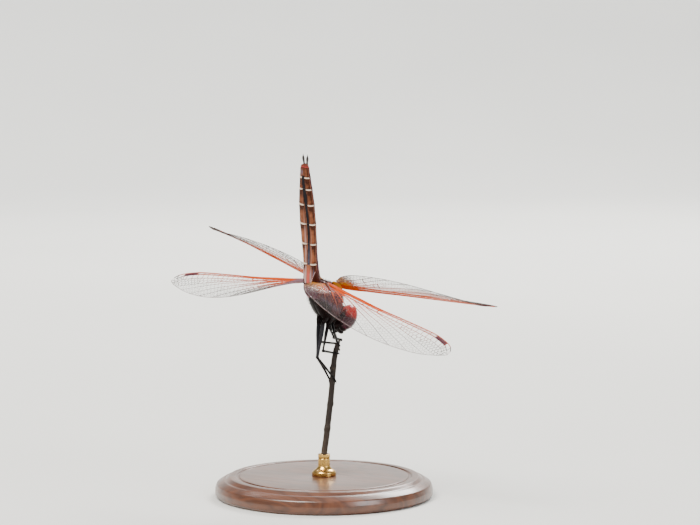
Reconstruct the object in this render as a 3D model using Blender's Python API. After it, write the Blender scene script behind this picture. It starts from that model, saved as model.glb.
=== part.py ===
"""A male violet dropwing dragonfly, life size, perched head down on the tip of a dry twig.

The abdomen points up, the four wings are spread, and the legs hold the twig, whose cut end
stands in a brass socket on a turned wooden base. Run it with blender --background --python
part.py, or from the Text Editor.

World frame: +Z up, origin at the centre of the base's underside, the insect heading for -Y.
Body frame: +X the insect's right, +Y forwards, +Z its back, origin in the middle of the thorax.
"""

import bpy
import bmesh
import numpy as np
from math import cos, pi, radians, sin
from mathutils import Matrix, Vector

MM = 0.001

# ---------------------------------------------------------------- driving sizes, in millimetres
GAP = 0.12                       # clearance between neighbouring solids

BODY_AT = (-1.11, 1.84, 31.0)    # middle of the thorax, above the base's underside
PITCH_DOWN = 31.4                # degrees the head is lower than the tail end of the thorax
ROLL_RIGHT = 8.9                 # degrees the right side hangs lower

FORE_LENGTH = 28.0
HIND_LENGTH = 27.0
WING_THICKNESS = 0.5
WING_EDGE = 0.26                 # thickness along the wing's margin
ROOT_OUT = 1.6                   # wing hinges, each side of the body's middle

EYE_AT = (1.28, 5.85, 0.08)      # right eye; the left one mirrors it
EYE_HALF = (1.46, 1.5, 2.10)
FACE_AT = (0.0, 6.45, -0.85)
FACE_HALF = (1.50, 1.45, 1.53)
NAPE_AT = (0.0, 5.1, -0.25)
NAPE_HALF = (2.47, 0.62, 1.88)

# (station, half width, half height) of the neck, and how far it lies below the body's axis
NECK = ((3.86, 0.62, 0.55), (4.0, 0.92, 0.80), (4.16, 0.95, 0.82), (4.36, 0.72, 0.62))
NECK_DROP = 0.42
# middle line and half thickness of the right feeler
ANTENNA = ((0.34, 7.62, 0.62), (0.55, 8.05, 1.02), (0.95, 8.5, 1.5), (1.45, 8.9, 1.95))
ANTENNA_HALF = (0.26, 0.25, 0.25, 0.24)

ABDOMEN_START = (0.0, -2.65, -0.2)
ABDOMEN_RISE = (20.0, 42.1)      # degrees above the thorax's axis, at the first ring and beyond
ABDOMEN_BEND = 2.3               # length of the bend, which the first two segments share
SEGMENT_LENGTHS = (0.9, 1.4, 3.25, 3.25, 3.25, 3.1, 2.5, 1.85, 1.4, 0.6)
FLANK_POWER = 0.8                # 1 is an ellipse, less is boxier
UNDER_POWER = 0.7
BACK_NARROWER = 0.30             # how much slimmer the back is than the belly
FORE_RIM_IN = 0.05               # each segment's first ring is drawn in by this
HIND_RIM_IN = 0.03
BASE_CUT_END = 2.6               # how far along the hollow for the abdomen's base reaches
CERCUS_LENGTH = 1.3
CERCUS_OUT = 0.30                # claspers, each side of the middle
CERCUS_BOW = 0.10                # how far they bow outwards
CERCUS_LIFT = 0.12
CERCUS_HALF = (0.2, 0.25, 0.25, 0.2, 0.1)

KNEE_HALF = 0.25
TARSUS_HALF = 0.24
TWIG_HALF = 0.43                 # at the tip
TWIG_SWELL = 0.060               # growth of that over the twig's length
TWIG_LEAN = 211.1                # degrees, the side that the twig leans to as it rises
TWIG_CUT = 4.9                   # height of its cut end, inside the socket
TWIG_SIDES = 12
KNOT_HEIGHTS = (10.6, 14.4)
KNOT_SWELL = 0.05
KNOT_REACH = 0.5                 # how far up and down a knot's swelling spreads
BREAK_HEIGHTS = (23.6, 24.2, 24.4)  # where the slanting break begins, runs and ends
BREAK_SLANT = 0.42
SPLINTER_HALF = 0.12
SPLINTER_OFF = 0.2

BASE_HALF = 17.0
BASE_HEIGHT = 3.2
# (inwards from the rim, below the top) of the base's moulded edge
BASE_EDGE = ((2.2, 0.0), (1.7, 0.5), (0.9, 0.75), (0.25, 1.3), (0.0, 2.0))
BASE_FOOT = 0.35                 # bevel round its underside
ROD_HALF = 0.95
ROD_TOP = 6.6
ROD_FOOT = 1.6                   # height of the rod's lower end, inside the base
SOCKET_HALF = 0.62
SOCKET_FLOOR = 4.6
COLLAR_HALF = 1.9
COLLAR_HEIGHT = 0.7
ROD_BEVEL = 0.1

# (station, half width, top, bottom) of the thorax along the body
THORAX = (
    (-3.30, 0.90, 1.40, -0.35),
    (-3.00, 1.35, 1.75, -1.05),
    (-2.20, 1.75, 2.15, -1.70),
    (-1.10, 2.00, 2.45, -2.15),
    (0.30, 2.15, 2.70, -2.45),
    (1.50, 2.10, 2.55, -2.50),
    (2.50, 1.85, 2.10, -2.35),
    (3.20, 1.45, 1.50, -2.00),
    (3.70, 0.85, 0.70, -1.45),
)
SHOULDER_POWER = 0.62            # 1 is an ellipse, less is boxier
BELLY_POWER = 0.85
THORAX_SHEAR = 0.16              # its back lies this much further aft for each mm of height
SHEAR_LEVEL = 0.3                # height at which that shift is nil
THORAX_SIDES = 20
TOP_WIDER = 0.06

# (distance along the abdomen, half width, depth from belly to back)
ABDOMEN = (
    (0.0, 1.15, 2.45),
    (1.2, 1.25, 2.85),
    (2.3, 1.15, 2.85),
    (5.55, 1.10, 2.05),
    (8.8, 1.22, 1.80),
    (12.05, 1.30, 1.78),
    (15.15, 1.24, 1.70),
    (17.65, 1.02, 1.52),
    (19.5, 0.84, 1.28),
    (20.9, 0.68, 1.04),
    (21.5, 0.54, 0.86),
)

# (fraction of the length, chord, how far the leading edge runs ahead of the line from the hinge)
FORE_OUTLINE = (
    (0.00, 0.060, 0.000), (0.04, 0.105, 0.005), (0.12, 0.150, 0.010), (0.25, 0.183, 0.010),
    (0.40, 0.207, 0.006), (0.58, 0.222, 0.004), (0.72, 0.213, 0.005), (0.83, 0.186, 0.001),
    (0.91, 0.142, -0.015), (0.965, 0.086, -0.038), (1.00, 0.012, -0.080),
)
HIND_OUTLINE = (
    (0.00, 0.150, 0.000), (0.04, 0.260, 0.007), (0.10, 0.312, 0.011), (0.22, 0.321, 0.012),
    (0.38, 0.300, 0.006), (0.55, 0.268, 0.008), (0.70, 0.227, 0.006), (0.82, 0.182, -0.001),
    (0.91, 0.130, -0.021), (0.965, 0.080, -0.046), (1.00, 0.012, -0.090),
)

# name: hinge along and above the body, length, outline, then in degrees, for the right wing and
# the left one: sweep forwards, rise, nose-down pitch at the hinge and near the tip; and the
# bend of the whole wing towards its upper side, as a part of the length
WINGS = {
    "forewing": {
        "hinge": (0.36, 2.79), "length": FORE_LENGTH, "outline": FORE_OUTLINE, "bend": 0.0,
        "right": (3.4, 6.4, -10.6, 18.2), "left": (10.2, 13.6, -13.4, 17.2),
    },
    "hindwing": {
        "hinge": (-2.69, 1.66), "length": HIND_LENGTH, "outline": HIND_OUTLINE, "bend": -0.048,
        "right": (-1.1, -12.5, 24.4, 65.7), "left": (5.3, -7.9, 32.0, 67.7),
    },
}

# (height, sideways shift along the lean) of the twig's axis
TWIG_AXIS = (
    (TWIG_CUT, 0.00), (6.6, 0.03), (8.8, 0.30), (12.0, 0.68), (15.8, 1.11),
    (19.0, 1.38), (21.2, 1.58), (23.7, 2.05), (24.85, 2.29),
)

# Each leg: its hip and knee in the body frame, then how its foot holds the twig: the height and
# the bearing round the twig of the ankle and of the claws.
LEGS = {
    "hind_right": {"hip": (0.50, 1.70, -3.02), "knee": (1.64, 2.50, -8.58),
                   "grip": ((18.95, 105.0), (17.90, 201.0)), "thick": 0.36},
    "hind_left": {"hip": (-0.50, 1.70, -3.02), "knee": (0.86, 3.45, -8.20),
                  "grip": ((18.35, 0.0), (17.20, -34.0)), "thick": 0.34},
    "mid_right": {"hip": (0.62, 2.80, -2.86), "knee": (1.98, 2.60, -7.25),
                  "grip": ((22.50, 92.0), (22.35, 206.0)), "thick": 0.30},
    "mid_left": {"hip": (-0.62, 2.80, -2.86), "knee": (-2.75, 7.45, -4.35),
                 "grip": ((23.90, -22.0), (22.90, -129.0)), "thick": 0.30},
    "fore_right": {"hip": (0.48, 3.90, -2.10), "knee": (2.60, 2.35, -3.95),
                   "grip": ((24.25, 106.0), (23.60, 171.0)), "thick": 0.28},
    "fore_left": {"hip": (-0.48, 3.90, -2.10), "knee": (-0.95, 7.95, -2.98),
                  "grip": ((24.50, -116.0), (24.42, -180.0)), "thick": 0.26},
}

COLOURS = {
    "eye": ((0.42, 0.05, 0.04), 0.18), "head": ((0.14, 0.05, 0.06), 0.45),
    "thorax": ((0.20, 0.09, 0.13), 0.55), "abdomen": ((0.62, 0.25, 0.16), 0.45),
    "cercus": ((0.04, 0.03, 0.03), 0.35), "wing": ((0.80, 0.62, 0.42), 0.25),
    "leg": ((0.02, 0.018, 0.02), 0.35), "twig": ((0.16, 0.11, 0.07), 0.85),
    "base": ((0.10, 0.05, 0.03), 0.35), "brass": ((0.75, 0.55, 0.25), 0.28),
}


# ---------------------------------------------------------------- frames and small mathematics
def body_matrix():
    """Body frame to world: roll, then pitch head down, then turn to face -Y."""
    turn = Matrix.Rotation(pi, 4, "Z")
    pitch = Matrix.Rotation(-radians(PITCH_DOWN), 4, "X")
    roll = Matrix.Rotation(radians(ROLL_RIGHT), 4, "Y")
    return Matrix.Translation(Vector(BODY_AT)) @ turn @ pitch @ roll


BODY = np.array(body_matrix())


def to_world(points):
    """Body-frame points in mm, to world points in mm."""
    points = np.asarray(points, dtype=float)
    return points @ BODY[:3, :3].T + BODY[:3, 3]


def unit(vector):
    vector = np.asarray(vector, dtype=float)
    return vector / np.linalg.norm(vector)


def smooth_column(table, column, where):
    """Monotone cubic curve through one column of a table, read at the given stations."""
    table = np.asarray(table, dtype=float)
    x, y = table[:, 0], table[:, column]
    step = np.diff(x)
    slope = np.diff(y) / step
    tangent = np.concatenate([slope[:1], np.zeros(len(x) - 2), slope[-1:]])
    same_way = slope[:-1] * slope[1:] > 0
    low, high = slope[:-1][same_way], slope[1:][same_way]
    tangent[1:-1][same_way] = 2 * low * high / (low + high)
    where = np.clip(where, x[0], x[-1])
    i = np.clip(np.searchsorted(x, where) - 1, 0, len(step) - 1)
    t = (where - x[i]) / step[i]
    return ((1 + 2 * t) * (1 - t) ** 2 * y[i] + t * (1 - t) ** 2 * step[i] * tangent[i]
            + t * t * (3 - 2 * t) * y[i + 1] + t * t * (t - 1) * step[i] * tangent[i + 1])


# ---------------------------------------------------------------- making objects
def material(name):
    """Principled material with this finish's colour and roughness."""
    found = bpy.data.materials.get(name)
    if found:
        return found
    colour, roughness = COLOURS[name]
    made = bpy.data.materials.new(name)
    made.use_nodes = True
    shader = made.node_tree.nodes["Principled BSDF"]
    shader.inputs["Base Color"].default_value = (*colour, 1.0)
    shader.inputs["Roughness"].default_value = roughness
    shader.inputs["Metallic"].default_value = 1.0 if name == "brass" else 0.0
    return made


def finish_object(name, bm, finish):
    """Turn a bmesh in mm into a named object in metres, smooth except at its sharp edges."""
    bmesh.ops.recalc_face_normals(bm, faces=bm.faces)
    bmesh.ops.scale(bm, vec=(MM, MM, MM), verts=bm.verts)
    mesh = bpy.data.meshes.new(name)
    bm.to_mesh(mesh)
    bm.free()
    mesh.shade_smooth()
    mesh.set_sharp_from_angle(angle=radians(42))
    made = bpy.data.objects.new(name, mesh)
    bpy.context.scene.collection.objects.link(made)
    mesh.materials.append(material(finish))
    return made


def lofted(rings):
    """Closed solid through a stack of rings of equal count, each end closed by a fan."""
    bm = bmesh.new()
    loops = [[bm.verts.new(point) for point in ring] for ring in rings]
    count = len(loops[0])
    for lower, upper in zip(loops, loops[1:]):
        for i in range(count):
            j = (i + 1) % count
            bm.faces.new((lower[i], lower[j], upper[j], upper[i]))
    for loop in (loops[0], loops[-1]):
        middle = bm.verts.new(np.mean([v.co for v in loop], axis=0))
        for i in range(count):
            bm.faces.new((loop[i], loop[(i + 1) % count], middle))
    return bm


def tube(path, radii, sides, start_cut=None, end_cut=None):
    """Solid round tube along a path. An end is rounded off by a smaller ring beyond it, or,
    where a cutting plane (point, normal) is given, its ring is slid along the tube to that
    plane, which makes a mitre."""
    path = np.asarray(path, dtype=float)
    radii = np.asarray(radii, dtype=float)
    along = np.gradient(path, axis=0)
    along /= np.linalg.norm(along, axis=1, keepdims=True)
    if start_cut is None:
        path = np.vstack([path[:1] - along[0] * radii[0] * 0.45, path])
        along = np.vstack([along[:1], along])
        radii = np.concatenate([[radii[0] * 0.55], radii])
    if end_cut is None:
        path = np.vstack([path, path[-1:] + along[-1] * radii[-1] * 0.45])
        along = np.vstack([along, along[-1:]])
        radii = np.concatenate([radii, [radii[-1] * 0.55]])
    side = unit(np.cross(along[0], (0.3, 0.5, 0.81)))
    angles = np.arange(sides)[:, None] * 2 * pi / sides
    rings = []
    for centre, way, radius in zip(path, along, radii):
        side = unit(side - way * side.dot(way))
        up = np.cross(way, side)
        rings.append(centre + radius * (np.cos(angles) * side + np.sin(angles) * up))
    for cut, ring, way in ((start_cut, 0, along[0]), (end_cut, -1, along[-1])):
        if cut is not None:
            point, normal = cut
            slide = (point - rings[ring]) @ normal / way.dot(normal)
            rings[ring] = rings[ring] + np.outer(slide, way)
    return lofted(rings)


def ellipsoid(centre, half, rings=12, sides=20, grow=0.0):
    """Ball stretched to three half sizes, its poles fore and aft, in the body frame."""
    stack = []
    for turn in np.linspace(0, pi, rings + 1)[1:-1]:
        angles = np.arange(sides) * 2 * pi / sides
        ring = np.stack([
            centre[0] + (half[0] + grow) * sin(turn) * np.cos(angles),
            np.full(sides, centre[1] - (half[1] + grow) * cos(turn)),
            centre[2] + (half[2] + grow) * sin(turn) * np.sin(angles),
        ], axis=1)
        stack.append(to_world(ring))
    bm = lofted(stack)
    return bm


def boolean(target, other, operation):
    """Join or cut another object into the target with an exact Boolean that stays on it."""
    change = target.modifiers.new(operation.lower() + "_" + other.name, "BOOLEAN")
    change.operation = operation
    change.solver = "EXACT"
    change.object = other
    other.hide_render = True
    other.display_type = "WIRE"


# ---------------------------------------------------------------- thorax and neck
def thorax_rings():
    """Boxy egg sections, narrower below, leaning aft towards the back."""
    stations = np.concatenate([np.linspace(THORAX[0][0], -2.2, 5), np.linspace(-1.4, 2.5, 6),
                               np.linspace(3.0, THORAX[-1][0], 4)])
    rings = []
    for at in stations:
        half, top, low = (float(smooth_column(THORAX, c, at)) for c in (1, 2, 3))
        angles = np.arange(THORAX_SIDES) * 2 * pi / THORAX_SIDES
        c, s = np.cos(angles), np.sin(angles)
        power = np.where(s > 0, SHOULDER_POWER, BELLY_POWER)
        width = half * np.sign(c) * np.abs(c) ** power * (1 + TOP_WIDER * s)
        height = (top + low) / 2 + (top - low) / 2 * np.sign(s) * np.abs(s) ** power
        aft = at - THORAX_SHEAR * (height - SHEAR_LEVEL)
        rings.append(to_world(np.stack([width, aft, height], axis=1)))
    return rings


def make_thorax(abdomen_base):
    thorax = finish_object("thorax", lofted(thorax_rings()), "thorax")
    boolean(thorax, abdomen_base, "DIFFERENCE")
    return thorax


def make_neck():
    """Prothorax between the thorax's front and the nape, a short waisted drum."""
    rings = []
    angles = np.arange(16) * 2 * pi / 16
    for at, half, high in NECK:
        rings.append(to_world(np.stack([half * np.cos(angles), 0 * angles + at,
                                        high * np.sin(angles) - NECK_DROP], axis=1)))
    finish_object("neck", lofted(rings), "thorax")


# ---------------------------------------------------------------- head
def eye_bmesh(side, grow=0.0):
    """Half-parted ball: everything past the body's middle plane is pressed flat against it."""
    bm = ellipsoid((side * EYE_AT[0], EYE_AT[1], EYE_AT[2]), EYE_HALF, rings=11, sides=22,
                   grow=grow)
    inward = BODY[:3, 0]
    middle = BODY[:3, 3]
    keep = GAP / 2 - grow
    for vert in bm.verts:
        out = side * float(np.dot(np.array(vert.co) - middle, inward))
        if out < keep:
            vert.co += Vector(inward * side * (keep - out))
    return bm


def make_head():
    head = finish_object("head", ellipsoid(FACE_AT, FACE_HALF, rings=10, sides=20), "head")
    nape = finish_object("nape_form", ellipsoid(NAPE_AT, NAPE_HALF, rings=8, sides=24), "head")
    boolean(head, nape, "UNION")
    for side, word in ((1, "right"), (-1, "left")):
        finish_object("eye_" + word, eye_bmesh(side), "eye")
        socket = finish_object("socket_form_" + word, eye_bmesh(side, grow=GAP), "head")
        boolean(head, socket, "DIFFERENCE")


def make_antennae():
    """Short bristles from the brow, thick at the root."""
    for side, word in ((1, "right"), (-1, "left")):
        path = np.array(ANTENNA) * (side, 1, 1)
        finish_object("antenna_" + word, tube(to_world(path), ANTENNA_HALF, 8), "leg")


# ---------------------------------------------------------------- abdomen
def abdomen_frame(s):
    """Centre, direction along, and back direction of the abdomen, s mm from its first ring."""
    start, end = (radians(a) for a in ABDOMEN_RISE)
    steps = np.linspace(0, min(max(s, 0.0), ABDOMEN_BEND), 24)
    rise = start + (end - start) * steps / ABDOMEN_BEND
    aft = np.trapz(np.cos(rise), steps) if s > 0 else 0.0
    up = np.trapz(np.sin(rise), steps) if s > 0 else 0.0
    slope = start if s <= 0 else rise[-1]
    beyond = s - min(max(s, 0.0), ABDOMEN_BEND)
    along = np.array([0.0, -cos(slope), sin(slope)])
    centre = np.array(ABDOMEN_START) + np.array([0.0, -aft, up]) + along * beyond
    return centre, along, np.array([0.0, sin(slope), cos(slope)])


def abdomen_ring(s, grow=0.0, sides=18):
    """Section across the abdomen: a flat belly and a ridged back."""
    centre, _, back = abdomen_frame(s)
    half = float(smooth_column(ABDOMEN, 1, s)) + grow
    depth = float(smooth_column(ABDOMEN, 2, s)) + 2 * grow
    angles = (np.arange(sides) + 0.5) * 2 * pi / sides
    c, sn = np.cos(angles), np.sin(angles)
    across = half * np.sign(c) * np.abs(c) ** FLANK_POWER * (1 - BACK_NARROWER * sn)
    lift = depth / 2 * np.where(sn > 0, sn, -np.abs(sn) ** UNDER_POWER)
    return to_world(centre + np.outer(across, (1, 0, 0)) + np.outer(lift, back))


def make_abdomen():
    """Ten segments, each a little fuller at its hind rim, parted by thin joints."""
    s = 0.0
    for number, length in enumerate(SEGMENT_LENGTHS, 1):
        steps = 4 if length > 2 else 3
        stations = np.linspace(s + GAP / 2, s + length - GAP / 2, steps)
        grows = [-FORE_RIM_IN] + [0.0] * (steps - 2) + [-HIND_RIM_IN]
        rings = [abdomen_ring(at, grow) for at, grow in zip(stations, grows)]
        finish_object("abdomen_s%d" % number, lofted(rings), "abdomen")
        s += length
    return s


def abdomen_cutter():
    """The first two segments grown by the clearance, to hollow the thorax's rear."""
    rings = [abdomen_ring(at, GAP) for at in np.linspace(-GAP, BASE_CUT_END, 7)]
    return finish_object("abdomen_base_form", lofted(rings), "thorax")


def make_cerci(s):
    """Two pointed claspers at the tip."""
    centre, along, back = abdomen_frame(s + GAP)
    for side, word in ((1, "right"), (-1, "left")):
        start = centre + np.array([side * CERCUS_OUT, 0, 0]) + back * CERCUS_LIFT
        bend = start + along * CERCUS_LENGTH / 2 + np.array([side * CERCUS_BOW, 0, 0])
        tip = start + along * CERCUS_LENGTH + back * CERCUS_BOW
        path = [start, (start + bend) / 2, bend, (bend + tip) / 2, tip]
        finish_object("cercus_" + word, tube(to_world(path), CERCUS_HALF, 8), "cercus")


# ---------------------------------------------------------------- wings
def wing_rings(kind, word):
    """Thin twisted plate. Each section runs across the wing from front to rear margin."""
    spec = WINGS[kind]
    side = 1 if word == "right" else -1
    sweep, rise, pitch_root, pitch_tip = (radians(a) for a in spec[word])
    length = spec["length"]
    span = np.array([side * cos(rise) * cos(sweep), cos(rise) * sin(sweep), sin(rise)])
    ahead = unit(np.array([0, 1, 0]) - span * span[1])
    upper = np.cross(span, ahead) * side
    root = np.array([side * ROOT_OUT, *spec["hinge"]])
    t_all = np.concatenate([[-0.008, 0.015, 0.04, 0.08], np.linspace(0.13, 0.88, 13),
                            [0.92, 0.955, 0.98, 0.995, 1.0]])
    across = np.array([0.0, 0.05, 0.3, 0.62, 0.92, 1.0])
    half_thick = np.array([WING_EDGE, WING_THICKNESS, WING_THICKNESS, WING_THICKNESS * 0.9,
                           WING_EDGE, WING_EDGE]) / 2
    rings = []
    for t in t_all:
        pitch = pitch_root + (pitch_tip - pitch_root) * min(t / 0.85, 1.0)
        rearward = -cos(pitch) * ahead - sin(pitch) * upper
        normal = unit(np.cross(span, rearward))
        chord = float(smooth_column(spec["outline"], 1, t)) * length
        ahead_by = float(smooth_column(spec["outline"], 2, t)) * length
        front = (root + span * t * length - rearward * ahead_by
                 - upper * spec["bend"] * length * t * t)
        upper_side = [front + rearward * chord * a + normal * h for a, h in zip(across, half_thick)]
        lower_side = [front + rearward * chord * a - normal * h for a, h in zip(across, half_thick)]
        rings.append(to_world(np.array(upper_side + lower_side[::-1])))
    return rings


def make_wings():
    for kind in WINGS:
        for word in ("right", "left"):
            finish_object(kind + "_" + word, lofted(wing_rings(kind, word)), "wing")


# ---------------------------------------------------------------- twig and legs
def twig_axis(height):
    shift = smooth_column(TWIG_AXIS, 1, height)
    lean = radians(TWIG_LEAN)
    return np.array([shift * cos(lean), shift * sin(lean), height])


def twig_half(height):
    down = (TWIG_AXIS[-1][0] - height) / (TWIG_AXIS[-1][0] - TWIG_CUT)
    return TWIG_HALF + TWIG_SWELL * down


def beside_twig(height, bearing):
    """Point where a foot's middle lies against the twig."""
    out = twig_half(height) + TARSUS_HALF + GAP
    angle = radians(bearing)
    return twig_axis(height) + out * np.array([cos(angle), sin(angle), 0.0])


def make_leg(name, spec):
    """Thigh in one node; shank and foot, which wraps round the twig, in the next. The two meet
    at the knee on a mitre plane."""
    hip, knee = to_world([spec["hip"], spec["knee"]])
    (ankle_height, ankle_bearing), (claw_height, claw_bearing) = spec["grip"]
    foot = np.array([beside_twig(ankle_height + (claw_height - ankle_height) * t,
                                 ankle_bearing + (claw_bearing - ankle_bearing) * t)
                     for t in np.linspace(0, 1, 7)])
    thick = spec["thick"]
    thigh_way = unit(knee - hip)
    shank_way = unit(foot[0] - knee)
    mitre = unit(thigh_way + shank_way)
    places = (0.0, 0.08, 0.16, 0.45, 0.82, 1.0)
    girths = (thick * 1.15, thick * 1.2, thick * 0.85, thick, KNEE_HALF, KNEE_HALF)
    thigh = [hip + (knee - hip) * p for p in places]
    finish_object("leg_%s_thigh" % name,
                  tube(thigh, girths, 8, end_cut=(knee - mitre * GAP / 2, mitre)), "leg")
    shank = [knee + (foot[0] - knee) * p for p in (0.0, 0.22, 0.45, 0.7, 0.93)]
    path = np.vstack([shank, foot])
    girths = [KNEE_HALF] * len(shank) + [TARSUS_HALF] * len(foot)
    finish_object("leg_%s_shank" % name,
                  tube(path, girths, 8, start_cut=(knee + mitre * GAP / 2, mitre)), "leg")


def make_twig():
    """Dry stem with a slanting broken tip, two shallow knots and a cut lower end."""
    low, middle, high = BREAK_HEIGHTS
    lean = radians(TWIG_LEAN)
    angles = np.arange(TWIG_SIDES) * 2 * pi / TWIG_SIDES
    around = np.stack([np.cos(angles), np.sin(angles), 0 * angles], axis=1)
    rings = []
    for height in np.append(np.linspace(TWIG_CUT, low, 17), middle):
        knot = KNOT_SWELL * sum(np.exp(-((height - at) / KNOT_REACH) ** 2) for at in KNOT_HEIGHTS)
        half = twig_half(height) + knot if height > ROD_TOP + KNOT_REACH else twig_half(TWIG_CUT)
        rings.append(twig_axis(height) + half * around)
    slant = BREAK_SLANT * np.cos(angles - lean)
    rings.append(twig_axis(high) + TWIG_HALF * 0.92 * around + slant[:, None] * (0, 0, 1))
    off = SPLINTER_OFF * np.array([cos(lean), sin(lean), 0.0])
    rings.append(twig_axis(TWIG_AXIS[-1][0]) + off + SPLINTER_HALF * around)
    finish_object("twig", lofted(rings), "twig")


# ---------------------------------------------------------------- stand
def turned(profile, sides):
    """Solid of revolution about the world's Z from (radius, height) points, open on the axis."""
    angles = np.arange(sides) * 2 * pi / sides
    return lofted([np.stack([r * np.cos(angles), r * np.sin(angles), np.full(sides, z)], axis=1)
                   for r, z in profile])


def make_stand():
    """Turned base with a blind hole, and the brass socket that stands in it."""
    hole = ROD_HALF + GAP
    edge = [(BASE_HALF - inwards, BASE_HEIGHT - below) for inwards, below in BASE_EDGE]
    base = [(hole, ROD_FOOT - GAP), (hole, BASE_HEIGHT), *edge,
            (BASE_HALF, BASE_FOOT), (BASE_HALF - BASE_FOOT, 0.0)]
    finish_object("stand_base", turned(base, 40), "base")
    lift = BASE_HEIGHT + GAP
    rod = [(ROD_HALF - ROD_BEVEL, ROD_FOOT), (ROD_HALF, ROD_FOOT + ROD_BEVEL), (ROD_HALF, lift),
           (COLLAR_HALF, lift), (COLLAR_HALF, lift + COLLAR_HEIGHT * 0.6),
           (COLLAR_HALF - 0.35, lift + COLLAR_HEIGHT), (ROD_HALF, lift + COLLAR_HEIGHT + 0.35),
           (ROD_HALF, ROD_TOP - ROD_BEVEL), (ROD_HALF - ROD_BEVEL, ROD_TOP), (SOCKET_HALF, ROD_TOP),
           (SOCKET_HALF, SOCKET_FLOOR)]
    finish_object("stand_rod", turned(rod, 24), "brass")


# ---------------------------------------------------------------- the whole model
def clear_scene():
    for found in list(bpy.data.objects):
        bpy.data.objects.remove(found, do_unlink=True)


def main():
    clear_scene()
    make_thorax(abdomen_cutter())
    make_neck()
    make_head()
    make_antennae()
    make_cerci(make_abdomen())
    make_wings()
    for name, spec in LEGS.items():
        make_leg(name, spec)
    make_twig()
    make_stand()


main()
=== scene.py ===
"""Looks of a life-size museum model of a violet dropwing dragonfly on the tip of a twig.

Every piece is a numpy surface in millimetres, in the insect's own frame (X its right, Y
forwards, Z its back) or in the world's (Z up, origin under the middle of the base), and is
written to its mesh in metres.
"""

from functools import cached_property
from math import cos, pi, radians, sin

import bpy
import numpy as np
from mathutils import Matrix, Vector


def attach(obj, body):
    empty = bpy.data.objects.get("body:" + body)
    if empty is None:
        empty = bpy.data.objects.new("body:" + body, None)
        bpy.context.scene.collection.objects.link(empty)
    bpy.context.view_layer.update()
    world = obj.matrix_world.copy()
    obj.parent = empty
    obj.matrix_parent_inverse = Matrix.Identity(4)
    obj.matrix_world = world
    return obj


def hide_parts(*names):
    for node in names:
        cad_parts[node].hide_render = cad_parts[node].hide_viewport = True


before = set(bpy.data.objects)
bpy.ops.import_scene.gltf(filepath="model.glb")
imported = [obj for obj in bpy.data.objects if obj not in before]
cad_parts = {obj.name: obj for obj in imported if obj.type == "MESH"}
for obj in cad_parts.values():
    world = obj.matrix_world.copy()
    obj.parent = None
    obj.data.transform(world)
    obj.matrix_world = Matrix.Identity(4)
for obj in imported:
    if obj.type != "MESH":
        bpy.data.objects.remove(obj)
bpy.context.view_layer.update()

bl_info = {
    "name": "Dropwing dragonfly model",
    "version": (1, 0, 0),
    "blender": (4, 5, 0),
    "location": "3D View > Sidebar > Dragonfly",
    "description": "Skin, head, wings, legs, twig and stand of a life-size dragonfly model",
    "category": "Object",
}

MM = 0.001
RANDOM = np.random.default_rng(7)

# ---------------------------------------------------------------- sizes shared with the solids
SIDES = (("right", 1), ("left", -1))
ABDOMEN_NODES = ["abdomen_s%d" % n for n in range(1, 11)]
GAP = 0.12
BODY_AT = (-1.11, 1.84, 31.0)
PITCH_DOWN = 31.4
ROLL_RIGHT = 8.9
ROOT_OUT = 1.6

EYE_AT = (1.28, 5.85, 0.08)
EYE_HALF = (1.46, 1.5, 2.10)
# stations between which the dark hind rim fades
EYE_RIM = (4.42, 4.56)
# place and size of the three simple eyes
SIMPLE_EYES = (((0, 7.06, 1.02), 0.15), ((0.33, 6.74, 1.02), 0.12), ((-0.33, 6.74, 1.02), 0.12))
NAPE_AT = (0.0, 5.1, -0.25)
NAPE_HALF = (2.42, 0.58, 1.84)

ABDOMEN_START = (0.0, -2.65, -0.2)
# slope in degrees before and after the bend, and the bend's length
ABDOMEN_RISE = (20.0, 42.1)
ABDOMEN_BEND = 2.3
SEGMENT_LENGTHS = (0.9, 1.4, 3.25, 3.25, 3.25, 3.1, 2.5, 1.85, 1.4, 0.6)
SEGMENT_ENDS = np.cumsum(SEGMENT_LENGTHS)
CERCUS_LENGTH = 1.3

# station, half width, top, bottom
THORAX = (
    (-3.30, 0.90, 1.40, -0.35), (-3.00, 1.35, 1.75, -1.05), (-2.20, 1.75, 2.15, -1.70),
    (-1.10, 2.00, 2.45, -2.15), (0.30, 2.15, 2.70, -2.45), (1.50, 2.10, 2.55, -2.50),
    (2.50, 1.85, 2.10, -2.35), (3.20, 1.45, 1.50, -2.00), (3.70, 0.85, 0.70, -1.45),
)
# slanting seams of the flanks: station, depth, lowest and highest end
THORAX_SEAMS = ((2.05, 0.085, -1.9, 2.1), (0.80, 0.065, -0.4, 2.2), (-0.35, 0.085, -2.1, 1.9),
                (1.45, 0.045, -2.3, -0.6))
# distance below the middle of the eyes, half width, how far the face reaches ahead
FACE = (
    (-0.72, 0.10, 6.75), (-0.60, 0.44, 7.16), (-0.38, 0.80, 7.52), (-0.05, 1.03, 7.76),
    (0.22, 1.06, 7.71), (0.40, 1.03, 7.58), (0.62, 1.19, 7.69), (0.86, 1.10, 7.71),
    (1.00, 0.86, 7.62), (1.12, 0.84, 7.61), (1.24, 0.91, 7.50), (1.48, 0.96, 7.52),
    (1.74, 0.78, 7.34), (1.95, 0.24, 6.95),
)
FACE_BACK = 6.35
SHOULDER_POWER = 0.62
BELLY_POWER = 0.85
THORAX_SHEAR = 0.16

# distance along, half width, depth
ABDOMEN = (
    (0.0, 1.15, 2.45), (1.2, 1.25, 2.85), (2.3, 1.15, 2.85), (5.55, 1.10, 2.05),
    (8.8, 1.22, 1.80), (12.05, 1.30, 1.78), (15.15, 1.24, 1.70), (17.65, 1.02, 1.52),
    (19.5, 0.84, 1.28), (20.9, 0.68, 1.04), (21.5, 0.54, 0.86),
)

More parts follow.
